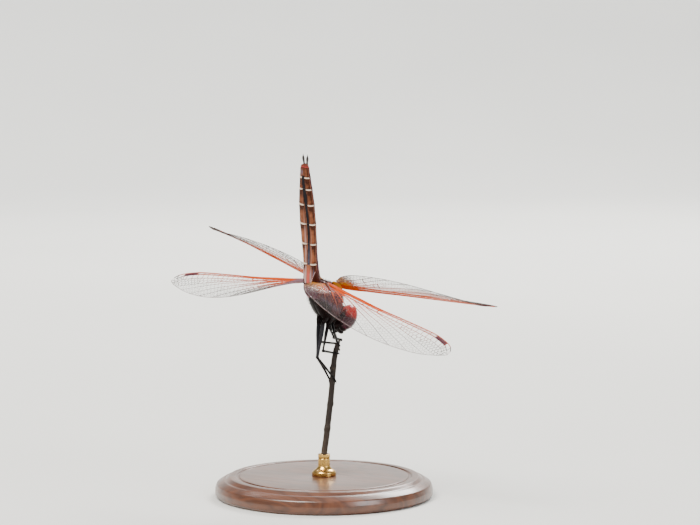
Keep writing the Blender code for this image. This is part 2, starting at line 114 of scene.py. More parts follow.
# part of the length, chord, and how far the leading edge runs ahead of the hinge line
FORE_OUTLINE = (
    (0.00, 0.060, 0.000), (0.04, 0.105, 0.005), (0.12, 0.150, 0.010), (0.25, 0.183, 0.010),
    (0.40, 0.207, 0.006), (0.58, 0.222, 0.004), (0.72, 0.213, 0.005), (0.83, 0.186, 0.001),
    (0.91, 0.142, -0.015), (0.965, 0.086, -0.038), (1.00, 0.012, -0.080),
)
HIND_OUTLINE = (
    (0.00, 0.150, 0.000), (0.04, 0.260, 0.007), (0.10, 0.312, 0.011), (0.22, 0.321, 0.012),
    (0.38, 0.300, 0.006), (0.55, 0.268, 0.008), (0.70, 0.227, 0.006), (0.82, 0.182, -0.001),
    (0.91, 0.130, -0.021), (0.965, 0.080, -0.046), (1.00, 0.012, -0.090),
)
# hinge: station and height; bend: how far the tip hangs down (below 0: stands up), as part of
# the length; right and left: sweep ahead, rise, pitch at the root and at the tip, in degrees
WINGS = {
    "forewing": {
        "hinge": (0.36, 2.79), "length": 28.0, "outline": FORE_OUTLINE, "bend": 0.0,
        "right": (3.4, 6.4, -10.6, 18.2), "left": (10.2, 13.6, -13.4, 17.2),
    },
    "hindwing": {
        "hinge": (-2.69, 1.66), "length": 27.0, "outline": HIND_OUTLINE, "bend": -0.048,
        "right": (-1.1, -12.5, 24.4, 65.7), "left": (5.3, -7.9, 32.0, 67.7),
    },
}
# parts of the length where the dark spot begins and ends
STIGMA = (0.836, 0.930)

# Long veins from front to rear: thickness (radius), ridge (+) or furrow (-), and its course as
# (part of the length, part of the chord). Before its first place a vein runs in the one ahead
# of it; one that reaches 1 ends in the rear margin.
FORE_VEINS = (
    ("costa", 0.115, 0.00, ((0.0, 0.0), (1.0, 0.0))),
    ("subcosta", 0.070, -0.09,
     ((0.0, 0.12), (0.1, 0.075), (0.3, 0.055), (0.5, 0.045), (0.525, 0.0))),
    ("radius", 0.100, 0.10,
     ((0.0, 0.24), (0.1, 0.155), (0.3, 0.118), (0.525, 0.10), (0.7, 0.098), (0.845, 0.11),
      (0.925, 0.16), (0.975, 0.40))),
    ("sector", 0.062, -0.07,
     ((0.10, 0.17), (0.2, 0.195), (0.4, 0.19), (0.53, 0.195), (0.7, 0.225), (0.85, 0.31),
      (0.93, 0.46), (0.985, 1.0))),
    ("second", 0.045, -0.02,
     ((0.50, 0.195), (0.6, 0.275), (0.7, 0.38), (0.8, 0.53), (0.88, 0.73), (0.94, 1.0))),
    ("between", 0.042, 0.06,
     ((0.40, 0.19), (0.5, 0.30), (0.6, 0.385), (0.7, 0.505), (0.8, 0.70), (0.87, 0.90),
      (0.90, 1.0))),
    ("third", 0.042, -0.04,
     ((0.33, 0.20), (0.45, 0.36), (0.55, 0.475), (0.65, 0.625), (0.73, 0.80), (0.79, 1.0))),
    ("media", 0.050, 0.05,
     ((0.10, 0.19), (0.2, 0.27), (0.3, 0.355), (0.4, 0.475), (0.5, 0.61), (0.6, 0.785),
      (0.69, 1.0))),
    ("rear_media", 0.046, -0.04,
     ((0.10, 0.26), (0.2, 0.44), (0.28, 0.61), (0.38, 0.75), (0.46, 0.88), (0.53, 1.0))),
    ("cubitus", 0.042, 0.03,
     ((0.08, 0.36), (0.18, 0.56), (0.26, 0.75), (0.33, 0.89), (0.38, 1.0))),
    ("anal", 0.045, 0.02, ((0.0, 0.62), (0.1, 0.66), (0.17, 0.75), (0.24, 0.90), (0.28, 1.0))),
    ("margin", 0.040, 0.00, ((0.0, 1.0), (1.0, 1.0))),
)
HIND_VEINS = (
    ("costa", 0.115, 0.00, ((0.0, 0.0), (1.0, 0.0))),
    ("subcosta", 0.070, -0.09,
     ((0.0, 0.07), (0.1, 0.042), (0.3, 0.036), (0.40, 0.03), (0.415, 0.0))),
    ("radius", 0.100, 0.10,
     ((0.0, 0.13), (0.1, 0.085), (0.3, 0.075), (0.415, 0.075), (0.7, 0.092), (0.845, 0.12),
      (0.925, 0.18), (0.975, 0.45))),
    ("sector", 0.062, -0.07,
     ((0.08, 0.10), (0.2, 0.13), (0.415, 0.14), (0.6, 0.17), (0.8, 0.26), (0.92, 0.44),
      (0.985, 1.0))),
    ("second", 0.045, -0.02,
     ((0.40, 0.14), (0.5, 0.22), (0.6, 0.30), (0.7, 0.405), (0.8, 0.56), (0.88, 0.75),
      (0.94, 1.0))),
    ("between", 0.042, 0.06,
     ((0.30, 0.135), (0.4, 0.225), (0.5, 0.305), (0.6, 0.405), (0.7, 0.55), (0.8, 0.75),
      (0.885, 1.0))),
    ("third", 0.042, -0.04,
     ((0.22, 0.13), (0.3, 0.22), (0.4, 0.33), (0.5, 0.435), (0.6, 0.57), (0.7, 0.76),
      (0.79, 1.0))),
    ("media", 0.050, 0.05,
     ((0.08, 0.12), (0.2, 0.225), (0.3, 0.34), (0.4, 0.46), (0.5, 0.605), (0.6, 0.80),
      (0.69, 1.0))),
    ("rear_media", 0.046, -0.04,
     ((0.08, 0.16), (0.15, 0.26), (0.2, 0.345), (0.3, 0.52), (0.4, 0.69), (0.5, 0.87),
      (0.56, 1.0))),
    ("cubitus", 0.044, 0.04,
     ((0.03, 0.20), (0.10, 0.31), (0.16, 0.44), (0.25, 0.63), (0.33, 0.83), (0.39, 1.0))),
    ("anal", 0.045, 0.03,
     ((0.0, 0.36), (0.08, 0.44), (0.13, 0.57), (0.2, 0.75), (0.27, 0.93), (0.30, 1.0))),
    ("rear_anal", 0.040, -0.02, ((0.0, 0.62), (0.06, 0.68), (0.12, 0.84), (0.17, 1.0))),
    ("margin", 0.040, 0.00, ((0.0, 1.0), (1.0, 1.0))),
)
VEINS = {"forewing": FORE_VEINS, "hindwing": HIND_VEINS}
# parts of the length where the front veins meet and where the triangle of strong veins lies
NODUS = {"forewing": 0.525, "hindwing": 0.415}
TRIANGLE = {"forewing": 0.235, "hindwing": 0.13}

# bearing towards which the twig strays, and the height of its cut foot
TWIG_LEAN = 211.1
TWIG_CUT = 4.9
ROD_TOP = 6.6
TWIG_HALF = 0.43
TWIG_SWELL = 0.060
TWIG_TIP = 24.24
TWIG_SLANT = 0.40
# height and bearing of the side buds
TWIG_KNOTS = ((10.6, 1.9), (14.4, 4.6), (19.9, 0.4))
# height, and how far the twig's middle has strayed from the upright
TWIG_AXIS = (
    (TWIG_CUT, 0.00), (6.6, 0.03), (8.8, 0.30), (12.0, 0.68), (15.8, 1.11),
    (19.0, 1.38), (21.2, 1.58), (23.7, 2.05), (24.85, 2.29),
)
# hip and knee in the insect's frame; height and bearing on the twig of ankle and claws
LEGS = {
    "hind_right": {"hip": (0.50, 1.70, -3.02), "knee": (1.64, 2.50, -8.58),
                   "grip": ((18.95, 105.0), (17.90, 201.0)), "thick": 0.36},
    "hind_left": {"hip": (-0.50, 1.70, -3.02), "knee": (0.86, 3.45, -8.20),
                  "grip": ((18.35, 0.0), (17.20, -34.0)), "thick": 0.34},
    "mid_right": {"hip": (0.62, 2.80, -2.86), "knee": (1.98, 2.60, -7.25),
                  "grip": ((22.50, 92.0), (22.35, 206.0)), "thick": 0.30},
    "mid_left": {"hip": (-0.62, 2.80, -2.86), "knee": (-2.75, 7.45, -4.35),
                 "grip": ((23.90, -22.0), (22.90, -129.0)), "thick": 0.30},
    "fore_right": {"hip": (0.48, 3.90, -2.10), "knee": (2.60, 2.35, -3.95),
                   "grip": ((24.25, 106.0), (23.60, 171.0)), "thick": 0.28},
    "fore_left": {"hip": (-0.48, 3.90, -2.10), "knee": (-0.95, 7.95, -2.98),
                  "grip": ((24.50, -116.0), (24.42, -180.0)), "thick": 0.26},
}
BASE_HALF = 17.0
BASE_HEIGHT = 3.2
ROD_HALF = 0.95
COLLAR_HALF = 1.9

# ---------------------------------------------------------------- stage, in metres and degrees
FLOOR_DROP = 0.02  # millimetres below the base
LOOK_LEVEL = (0.5165, -0.8563)
LOOK_DOWN = 6.0
CAMERA_AWAY = 0.3846
CAMERA_LENS = 128.09  # millimetres
# how far the camera aims to the right of the thorax and above it, as parts of the distance
AIM_RIGHT = 0.01050
AIM_UP = 0.01492
# name; right of, above and beyond the thorax; size; share of the main lamp's power; tone; how
# far beyond the thorax it points
LAMPS = (
    ("key_lamp", (-0.30, 0.62, -0.28), 0.34, 1.0, (1.0, 0.97, 0.92), 0.0),
    ("fill_lamp", (0.55, 0.34, -0.50), 0.36, 0.38, (0.93, 0.96, 1.0), 0.0),
    ("rim_lamp", (0.25, 0.50, 0.52), 0.30, 0.7, (1.0, 0.98, 0.95), 0.0),
    ("wall_lamp", (0.0, 0.75, 0.65), 0.8, 1.2, (1.0, 1.0, 1.0), 1.35),
)


# ---------------------------------------------------------------- small mathematics
def body_matrix():
    """The insect's frame to the world: roll, then pitch head down, then half a turn."""
    turn = Matrix.Rotation(pi, 4, "Z")
    pitch = Matrix.Rotation(-radians(PITCH_DOWN), 4, "X")
    roll = Matrix.Rotation(radians(ROLL_RIGHT), 4, "Y")
    return np.array(Matrix.Translation(Vector(BODY_AT)) @ turn @ pitch @ roll)


BODY = body_matrix()


def to_world(points):
    """Points of the insect's frame, turned and moved to where it sits."""
    return np.asarray(points, float) @ BODY[:3, :3].T + BODY[:3, 3]


def unit(vectors):
    """Each vector divided by its length."""
    vectors = np.asarray(vectors, float)
    return vectors / np.maximum(np.linalg.norm(vectors, axis=-1, keepdims=True), 1e-12)


def smooth_column(table, column, where):
    """Monotone cubic curve through one column of a table, read at the given stations."""
    table = np.asarray(table, float)
    x, y = table[:, 0], table[:, column]
    step = np.diff(x)
    slope = np.diff(y) / step
    tangent = np.concatenate([slope[:1], np.zeros(len(x) - 2), slope[-1:]])
    same_way = slope[:-1] * slope[1:] > 0
    low, high = slope[:-1][same_way], slope[1:][same_way]
    tangent[1:-1][same_way] = 2 * low * high / (low + high)
    where = np.clip(where, x[0], x[-1])
    i = np.clip(np.searchsorted(x, where) - 1, 0, len(step) - 1)
    t = (where - x[i]) / step[i]
    return ((1 + 2 * t) * (1 - t) ** 2 * y[i] + t * (1 - t) ** 2 * step[i] * tangent[i]
            + t * t * (3 - 2 * t) * y[i + 1] + t * t * (t - 1) * step[i] * tangent[i + 1])


def ease(low, high, value):
    """0 below low, 1 above high, and a smooth S between."""
    t = np.clip((np.asarray(value, float) - low) / (high - low), 0, 1)
    return t * t * (3 - 2 * t)


def bell(value, width):
    """1 at zero, falling off on both sides as e to minus the square of value over width."""
    return np.exp(-(np.asarray(value, float) / width) ** 2)


def ripple(points, scale, seed=0.0):
    """Cheap smooth noise from -1 to 1: products of sines at odd angles, summed over 3 sizes."""
    x, y, z = np.moveaxis(np.asarray(points, float) / scale, -1, 0)
    total = 0
    for octave, weight in ((1.0, 0.55), (2.17, 0.3), (4.31, 0.15)):
        a = x * octave * 1.7 + seed
        b = y * octave * 1.9 + 2.3 * seed + 1.1
        c = z * octave * 1.8 + 0.7 * seed + 2.7
        total = total + weight * (np.sin(a + 1.3 * np.sin(b)) * np.cos(b + 1.1 * np.sin(c))
                                  + np.sin(c + 1.2 * np.sin(a))) / 1.6
    return total


def full_turn(count):
    """Angles of points spaced evenly round a circle."""
    return np.arange(count) * 2 * pi / count


def bulge(value, power):
    """Power that keeps the sign: it squares off a sine or cosine where it is below 1."""
    return np.sign(value) * np.abs(value) ** power


def stacked(*parts):
    """Arrays stretched to one common shape and laid side by side in a last axis."""
    return np.stack(np.broadcast_arrays(*parts), axis=-1)


# ---------------------------------------------------------------- grids and meshes
def grid_quads(rows, cols):
    """Quads between neighbouring points of a grid whose columns close round into a ring."""
    r = np.arange(rows - 1)[:, None]
    c = np.arange(cols)[None, :]
    after = (c + 1) % cols
    return np.stack([r * cols + c, r * cols + after, (r + 1) * cols + after, (r + 1) * cols + c],
                    axis=-1).reshape(-1, 4)


def outward_normals(rings, middle):
    """Cross product of the differences round the columns and along the rows, turned away from a
    middle point or line."""
    around = np.roll(rings, -1, axis=1) - np.roll(rings, 1, axis=1)
    normals = unit(np.cross(around, np.gradient(rings, axis=0)))
    return normals * np.sign((normals * (rings - middle)).sum(-1, keepdims=True))


class Shell:
    """Gathers grids and tubes into one mesh, with named marks (one number a point) that its
    material reads."""

    def __init__(self, *marks):
        self.points, self.quads, self.tris, self.count = [], [], [], 0
        self.marks = {name: [] for name in marks}

    def add(self, points, quads=(), tris=(), **marks):
        """Points of any grid shape, and faces that count from the first of them."""
        points = np.asarray(points, float)
        self.points.append(points.reshape(-1, 3))
        self.quads.append(np.asarray(quads, int).reshape(-1, 4) + self.count)
        self.tris.append(np.asarray(tris, int).reshape(-1, 3) + self.count)
        for name, column in self.marks.items():
            value = np.asarray(marks.get(name, 0.0), float)
            column.append(np.broadcast_to(value, points.shape[:-1]).reshape(-1))
        self.count += len(self.points[-1])

    def ring_stack(self, rings, flip=False, **marks):
        """A closed skin through a stack of rings; each end is closed by a fan to its middle."""
        rows, cols = rings.shape[:2]
        quads = grid_quads(rows, cols)
        ends = np.stack([rings[0].mean(0), rings[-1].mean(0)])
        c = np.arange(cols)
        after = (c + 1) % cols
        last = (rows - 1) * cols
        first_fan = np.stack([c, np.full(cols, rows * cols), after], axis=-1)
        last_fan = np.stack([last + after, np.full(cols, rows * cols + 1), last + c], axis=-1)
        tris = np.concatenate([first_fan, last_fan])
        if flip:
            quads, tris = quads[:, ::-1], tris[:, ::-1]
        full = {}
        for name in self.marks:
            value = np.broadcast_to(np.asarray(marks.get(name, 0.0), float), (rows, cols))
            full[name] = np.concatenate([value.reshape(-1), [value[0].mean(), value[-1].mean()]])
        self.add(np.concatenate([rings.reshape(-1, 3), ends]), quads, tris, **full)

    def tube(self, path, radii, sides, **marks):
        """A round skin along a path: rings square to it, turned so that they never twist much."""
        path = np.asarray(path, float)
        way = unit(np.gradient(path, axis=0))
        side = unit(np.cross(way, (0.31, 0.47, 0.83)))
        rise = np.cross(side, way)
        turn = full_turn(sides)[:, None]
        rings = path[:, None] + np.asarray(radii)[:, None, None] * (
            np.cos(turn) * side[:, None] + np.sin(turn) * rise[:, None])
        self.ring_stack(rings, flip=True, **{k: np.asarray(v)[..., None] if np.ndim(v) == 1 else v
                                             for k, v in marks.items()})

    def rods(self, starts, ends, first, last, sides=4, **marks):
        """Many straight prisms at once, each closed at both ends."""
        starts, ends = np.asarray(starts, float), np.asarray(ends, float)
        count = len(starts)
        way = unit(ends - starts)
        near = np.where(np.abs(way[:, 2:]) < 0.8, [[0.0, 0.0, 1.0]], [[1.0, 0.0, 0.0]])
        side = unit(np.cross(way, near))
        rise = np.cross(side, way)
        turn = (np.arange(sides) + 0.5) * 2 * pi / sides
        spoke = (np.cos(turn)[None, :, None] * side[:, None]
                 + np.sin(turn)[None, :, None] * rise[:, None])
        first = np.broadcast_to(first, count)[:, None, None]
        last = np.broadcast_to(last, count)[:, None, None]
        points = np.stack([starts[:, None] + spoke * first, ends[:, None] + spoke * last], axis=1)
        c = np.arange(sides)
        after = (c + 1) % sides
        one = np.stack([c, c + sides, after + sides, after], axis=-1)
        base = np.arange(count)[:, None, None] * 2 * sides
        quads = (one[None] + base).reshape(-1, 4)
        tris = ()
        if sides == 4:
            caps = np.array([[0, 1, 2, 3], [7, 6, 5, 4]])
            quads = np.concatenate([quads, (caps[None] + base).reshape(-1, 4)])
        else:
            fan = np.stack([np.zeros(sides - 2, int), c[1:-1], c[2:]], axis=-1)
            caps = np.concatenate([fan, fan[:, ::-1] + sides])
            tris = (caps[None] + base).reshape(-1, 3)
        full = {k: np.broadcast_to(np.asarray(v, float).reshape(-1, 1, 1), (count, 2, sides))
                for k, v in marks.items()}
        self.add(points, quads, tris, **full)

    def lobe(self, centre, half, lean=0.0, rows=18, cols=28, power=1.0, **marks):
        """Ball with three half sizes, poles fore and aft, leant by some degrees about X."""
        turn = np.linspace(0.06, pi - 0.06, rows)[:, None]
        around = full_turn(cols)[None, :]
        x = half[0] * np.sin(turn) * bulge(np.cos(around), power)
        z = half[2] * np.sin(turn) * bulge(np.sin(around), power)
        y = -half[1] * np.cos(turn)
        lean = radians(lean)
        y, z = y * cos(lean) - z * sin(lean), y * sin(lean) + z * cos(lean)
        self.ring_stack(to_world(stacked(x, y, z) + np.asarray(centre, float)), flip=True, **marks)

    def draft(self, name, material):
        """Mesh object of what was gathered, with each mark as a point attribute."""
        points, quads, tris = (np.concatenate(v) for v in (self.points, self.quads, self.tris))
        mesh = bpy.data.meshes.new(name)
        mesh.vertices.add(len(points))
        mesh.vertices.foreach_set("co", (points * MM).astype(np.float32).reshape(-1))
        corners = np.concatenate([quads.reshape(-1), tris.reshape(-1)]).astype(np.int32)
        starts = np.concatenate([np.arange(len(quads)) * 4,
                                 len(quads) * 4 + np.arange(len(tris)) * 3]).astype(np.int32)
        mesh.loops.add(len(corners))
        mesh.loops.foreach_set("vertex_index", corners)
        mesh.polygons.add(len(starts))
        mesh.polygons.foreach_set("loop_start", starts)
        mesh.update(calc_edges=True)
        for mark, column in self.marks.items():
            attribute = mesh.attributes.new(mark, "FLOAT", "POINT")
            attribute.data.foreach_set("value", np.concatenate(column).astype(np.float32))
        mesh.shade_smooth()
        mesh.materials.append(material)
        made = bpy.data.objects.new(name, mesh)
        bpy.context.scene.collection.objects.link(made)
        return made, corners

    def build(self, name, material, slot, replaces=(), bake_uv=None):
        """Piece of the dragonfly that stands for the nodes it replaces."""
        made, corners = self.draft(name, material)
        if bake_uv is not None:
            layer = made.data.uv_layers.new(name="OFBake")
            layer.uv.foreach_set("vector", bake_uv[corners].astype(np.float32).reshape(-1))
        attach(made, "root")
        if replaces:
            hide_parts(*replaces)


# ---------------------------------------------------------------- node building
def deeper(values, share):
    """A share of a colour's brightness."""
    return [share * value for value in values[:3]]


def halfway(first, second):
    """Mean of two colours."""
    return [(a + b) / 2 for a, b in zip(first, second)]


class Nodes:
    """Short names for the nodes of one tree. A value is a number, a vector, a colour of three
    numbers, or another node's output."""

    def __init__(self, tree):
        self.tree = tree

    def feed(self, socket, value):
        """Joins an output to the socket, or sets the socket's own value."""
        if isinstance(value, bpy.types.NodeSocket):
            self.tree.links.new(value, socket)
        elif socket.type == "RGBA":
            socket.default_value = (*value[:3], 1.0)
        else:
            socket.default_value = value

    def add(self, kind, inputs=(), **settings):
        """New node with its settings and inputs."""
        made = self.tree.nodes.new("ShaderNode" + kind)
        for key, value in settings.items():
            setattr(made, key, value)
        for key, value in dict(inputs).items():
            self.feed(made.inputs[key], value)
        return made

    @cached_property
    def place(self):
        """Object coordinates."""
        return self.add("TexCoord").outputs["Object"]

    def stretched(self, factors):
        """Object coordinates multiplied axis by axis."""
        return self.add("VectorMath", {0: self.place, 1: factors}, operation="MULTIPLY").outputs[0]

    def mark(self, name):
        """One of the numbers that a shell keeps at its points."""
        return self.add("Attribute", attribute_name=name).outputs["Fac"]

    def sums(self, operation, *values):
        return self.add("Math", enumerate(values), operation=operation).outputs[0]

    def times(self, first, second):
        return self.sums("MULTIPLY", first, second)

    def scaled(self, value, gain, offset):
        """Value times gain, plus offset."""
        return self.sums("MULTIPLY_ADD", value, gain, offset)

    def ramp(self, value, low, high, top=1.0, curve="SMOOTHSTEP"):
        """0 below low, rising to top at high."""
        limits = {"Value": value, "From Min": low, "From Max": high, "To Max": top}
        return self.add("MapRange", limits, interpolation_type=curve).outputs["Result"]

    def noise(self, scale, detail=2.0, roughness=0.5, distortion=0.0, at=None):
        inputs = {"Vector": at or self.place, "Scale": scale, "Detail": detail,
                  "Roughness": roughness, "Distortion": distortion}
        return self.add("TexNoise", inputs).outputs["Fac"]

    def cells(self, scale, randomness=1.0):
        """Distance to the nearest of scattered points."""
        inputs = {"Vector": self.place, "Scale": scale, "Randomness": randomness}
        return self.add("TexVoronoi", inputs).outputs["Distance"]

    def shared(self, name, inputs):
        """The one copy of a shared group, built when it is first asked for, with these values."""
        builders = {"Cuticle grain": cuticle_group, "Long fibres": fibre_group}
        if name not in bpy.data.node_groups:
            builders[name]()
        return self.add("Group", inputs, node_tree=bpy.data.node_groups[name]).outputs

    def grain(self, per_metre, pit=0.5):
        return self.shared("Cuticle grain", {"Grain per metre": per_metre, "Pit depth": pit})

    def fibres(self, per_metre, stretch):
        return self.shared("Long fibres", {"Fibres per metre": per_metre, "Stretch": stretch})

    def layers(self, base, *coats):
        """Base colour, then each (mask, colour) mixed over what is there."""
        for mask, tone in coats:
            base = self.add("Mix", {0: mask, 6: base, 7: tone}, data_type="RGBA").outputs[2]
        return base


class Finish(Nodes):
    """Nodes of a new material that ends in a Principled shader."""

    def __init__(self, name):
        self.material = bpy.data.materials.new(name)
        self.material.use_nodes = True
        super().__init__(self.material.node_tree)

    def done(self, base, roughness, height=None, depth=0.0, **fixed):
        """The material, its colour, roughness, relief (depth in millimetres) and other sockets
        joined to the shader."""
        if height is not None:
            bump = self.add("Bump", {"Height": height, "Distance": depth * MM})
            fixed["Normal"] = bump.outputs["Normal"]
        fixed.update(Base_Color=base, Roughness=roughness)
        shader = self.tree.nodes["Principled BSDF"]
        for socket, value in fixed.items():
            self.feed(shader.inputs[socket.replace("_", " ")], value)
        return self.material


def new_group(name, inputs, outputs):
    """Empty shader group with named sockets: its nodes, its given values and its end node."""
    group = bpy.data.node_groups.new(name, "ShaderNodeTree")
    for label, value in inputs.items():
        kind = "NodeSocketFloat" if isinstance(value, float) else "NodeSocketVector"
        socket = group.interface.new_socket(label, in_out="INPUT", socket_type=kind)
        socket.default_value = value
    for label in outputs:
        group.interface.new_socket(label, in_out="OUTPUT", socket_type="NodeSocketFloat")
    given = group.nodes.new("NodeGroupInput").outputs
    return Nodes(group), given, group.nodes.new("NodeGroupOutput").inputs


def cuticle_group():
    """Fine pitted grain of an insect's shell: soft blotches, small pits, and their height."""
    nodes, given, leave = new_group("Cuticle grain", {"Grain per metre": 9000.0, "Pit depth": 0.5},
                                    ("Blotch", "Speckle", "Height"))
    size = given["Grain per metre"]
    speckle = nodes.noise(size, 3.0, 0.65)
    pits = nodes.times(nodes.cells(nodes.times(size, 1.3)), given["Pit depth"])
    nodes.feed(leave["Blotch"], nodes.noise(nodes.times(size, 0.16), 4.0, 0.6))
    nodes.feed(leave["Speckle"], speckle)
    nodes.feed(leave["Height"], nodes.sums("ADD", pits, nodes.times(speckle, 0.6)))


def fibre_group():
    """Long fibres along one axis, as in bark or turned wood: their shade and height."""
    nodes, given, leave = new_group(
        "Long fibres", {"Fibres per metre": 3000.0, "Stretch": (1.0, 1.0, 0.08)},
        ("Shade", "Height"))
    long, size = nodes.stretched(given["Stretch"]), given["Fibres per metre"]
    coarse = nodes.noise(size, 5.0, 0.62, 0.4, at=long)
    fine = nodes.noise(nodes.times(size, 3.7), 3.0, at=long)
    shade = nodes.sums("ADD", nodes.times(coarse, 0.7), nodes.times(fine, 0.3))
    nodes.feed(leave["Shade"], shade)
    nodes.feed(leave["Height"], shade)


# ---------------------------------------------------------------- thorax and neck
def even_angles(count, power_up, power_low, half, tall):
    """Angles that space points evenly round a superellipse, by the length of its outline."""
    fine = np.linspace(0, 2 * pi, 4001)
    power = np.where(np.sin(fine) > 0, power_up, power_low)
    x, z = half * bulge(np.cos(fine), power), tall * bulge(np.sin(fine), power)
    run = np.concatenate([[0], np.cumsum(np.hypot(np.diff(x), np.diff(z)))])
    return np.interp(np.arange(count) / count * run[-1], run, fine)


def thorax_surface(rows=140, cols=164):
    """Boxy egg: at each station a superellipse, its back leaning aft, with these forms raised
    or sunk along its normals: a keel down the front of the back, slanting seams on the flanks,
    lobed plates between the wings, a breathing slit and folds towards the legs."""
    at = np.linspace(THORAX[0][0], THORAX[-1][0], rows)[:, None]
    angle = even_angles(cols, SHOULDER_POWER, BELLY_POWER, 2.1, 2.5)[None, :]
    half, top, low = (smooth_column(THORAX, k, at) for k in (1, 2, 3))
    c, s = np.cos(angle), np.sin(angle)
    power = np.where(s > 0, SHOULDER_POWER, BELLY_POWER)
    x = half * bulge(c, power) * (1 + 0.06 * s)
    z = (top + low) / 2 + (top - low) / 2 * bulge(s, power)
    y = at - THORAX_SHEAR * (z - 0.3)
    rings = stacked(x, y, z)
    normals = outward_normals(rings, np.array([0.0, 0.2, 0.1]))
    off = np.abs(x)
    flank = ease(0.9, 1.5, off)
    lean = y + 0.40 * z
    seams = 0
    for place, depth, low_end, high_end in THORAX_SEAMS:
        wave = 0.07 * np.sin(2.4 * z + place)
        seams = seams + depth * bell(lean - place + wave, 0.085) * flank * (
            ease(low_end - 0.3, low_end + 0.2, z) * (1 - ease(high_end - 0.2, high_end + 0.3, z)))
    between = ease(1.35, 1.75, z) * (1 - ease(0.95, 1.35, y)) * (1 - ease(1.55, 1.9, off))
    middle_plates = bell(x, 0.42) * (bell(y - 0.25, 0.38) + 0.9 * bell(y + 0.95, 0.3)
                                     + 0.9 * bell(y + 2.0, 0.35))
    side_plates = bell(off - 0.95, 0.26) * (bell(y - 0.1, 0.5) + bell(y + 1.6, 0.5))
    plates = 0.16 * between * (middle_plates + side_plates)
    troughs = bell(y + 0.45, 0.14) + bell(y + 1.45, 0.13) + bell(y + 2.55, 0.12)
    troughs = 0.13 * between * (troughs + bell(off - 0.55, 0.10)) * (1 - 0.5 * bell(x, 0.25))
    keel = 0.10 * bell(x, 0.075) * ease(0.9, 1.3, y) * ease(0.2, 0.8, z)
    collar = 0.07 * bell(at - 3.35, 0.09) - 0.05 * bell(at - 3.15, 0.07)
    shelf = 0.10 * bell(y - 1.05, 0.12) * ease(1.5, 2.0, z)
    slit = 0.12 * bell(np.hypot((lean + 0.35) / 0.9, (z + 0.35) / 1.9), 0.16) * flank
    belly = 0.10 * bell(x, 0.14) * ease(-1.6, -2.2, z)
    dimple = 0.012 * ripple(rings, 0.42, 3.0)
    raised = plates + keel + collar + shelf + dimple - seams - troughs - slit - belly
    rings = rings + normals * raised[..., None]
    dusky = 0.95 * ease(0.0, 0.5, ripple(rings, 0.55, 7.0)) * ease(-0.4, 0.5, z)
    marks = {
        # crease: painted shade in the sunk seams, troughs, slit and belly groove
        "crease": np.clip((seams + troughs + slit + belly) / 0.085, 0, 1),
        # low: painted shade, near black, over the underside
        "low": ease(-0.5, -1.8, z + 0.35 * np.sin(1.1 * y) + 0.30 * ripple(rings, 0.8)),
        "bloom": ease(-2.0, 0.6, z) * (0.42 + 0.40 * ripple(rings, 0.9, 1.0)),
        # blue: painted sheen, the bluish grey that the wing film lays over the flank
        "blue": 0.45 * bell(z + 0.65 - 0.12 * y, 0.38) * flank * (
            0.75 + 0.4 * ripple(rings, 0.7, 2.0)),
        "shadow": 0.9 * ease(0.0, 0.6, ripple(rings, 0.62, 11.0)) * ease(-0.5, 0.2, z),
        "rose": 0.5 * ease(0.1, 0.55, ripple(rings, 0.5, 5.0)) * ease(-0.6, 0.4, z) * flank,
        "red": np.clip(between * (plates / 0.16) * 1.1 + 0.85 * bell(seams - 0.040, 0.022) * flank
                       + 0.5 * between * bell(off - 0.75, 0.12) + dusky, 0, 1),
        "pale": np.clip(0.95 * bell(y + 2.95 + 0.12 * off, 0.11) * ease(0.9, 1.3, z)
                        + 0.7 * shelf / 0.10 * (1 - ease(1.2, 1.7, off)), 0, 1),
    }
    return rings, marks


def neck_surface(rows=40, cols=56):
    """Waisted collar of the forebody: three lobed rings that grow and shrink along it."""
    at = np.linspace(3.25, 4.62, rows)[:, None]
    angle = full_turn(cols)[None, :]
    swell = (0.62 + 0.36 * bell(at - 3.68, 0.30) + 0.34 * bell(at - 4.14, 0.17)
             - 0.06 * bell(at - 3.95, 0.05))
    lobes = 1 + 0.05 * np.cos(2 * angle) - 0.06 * bell(at - 4.14, 0.17) * bell(np.cos(angle), 0.2)
    half = swell * lobes
    rings = stacked(half * np.cos(angle), at, -0.42 + 0.9 * half * np.sin(angle))
    # low: painted shade on the neck's underside
    return rings, {"low": ease(0.3, -0.9, rings[..., 2]), "bloom": 0.35,
                   "red": 0.35 * bell(at - 4.14, 0.14)}


# ---------------------------------------------------------------- abdomen
def abdomen_frame(s):
    """Centre, direction along and direction of the back, s mm from the first ring. The slope
    grows evenly over the bend, so the centre is the running sum of its cosine and sine."""
    start, end = (radians(a) for a in ABDOMEN_RISE)
    s = np.asarray(s, float)
    bent = np.clip(s, 0, ABDOMEN_BEND)
    slope = start + (end - start) * bent / ABDOMEN_BEND
    rate = (end - start) / ABDOMEN_BEND
    aft = (np.sin(slope) - sin(start)) / rate
    rise = (cos(start) - np.cos(slope)) / rate
    along = stacked(0.0, -np.cos(slope), np.sin(slope))
    back = stacked(0.0, np.sin(slope), np.cos(slope))
    centre = np.array(ABDOMEN_START) + stacked(0.0, -aft, rise)
    return centre + along * (s - bent)[..., None], along, back


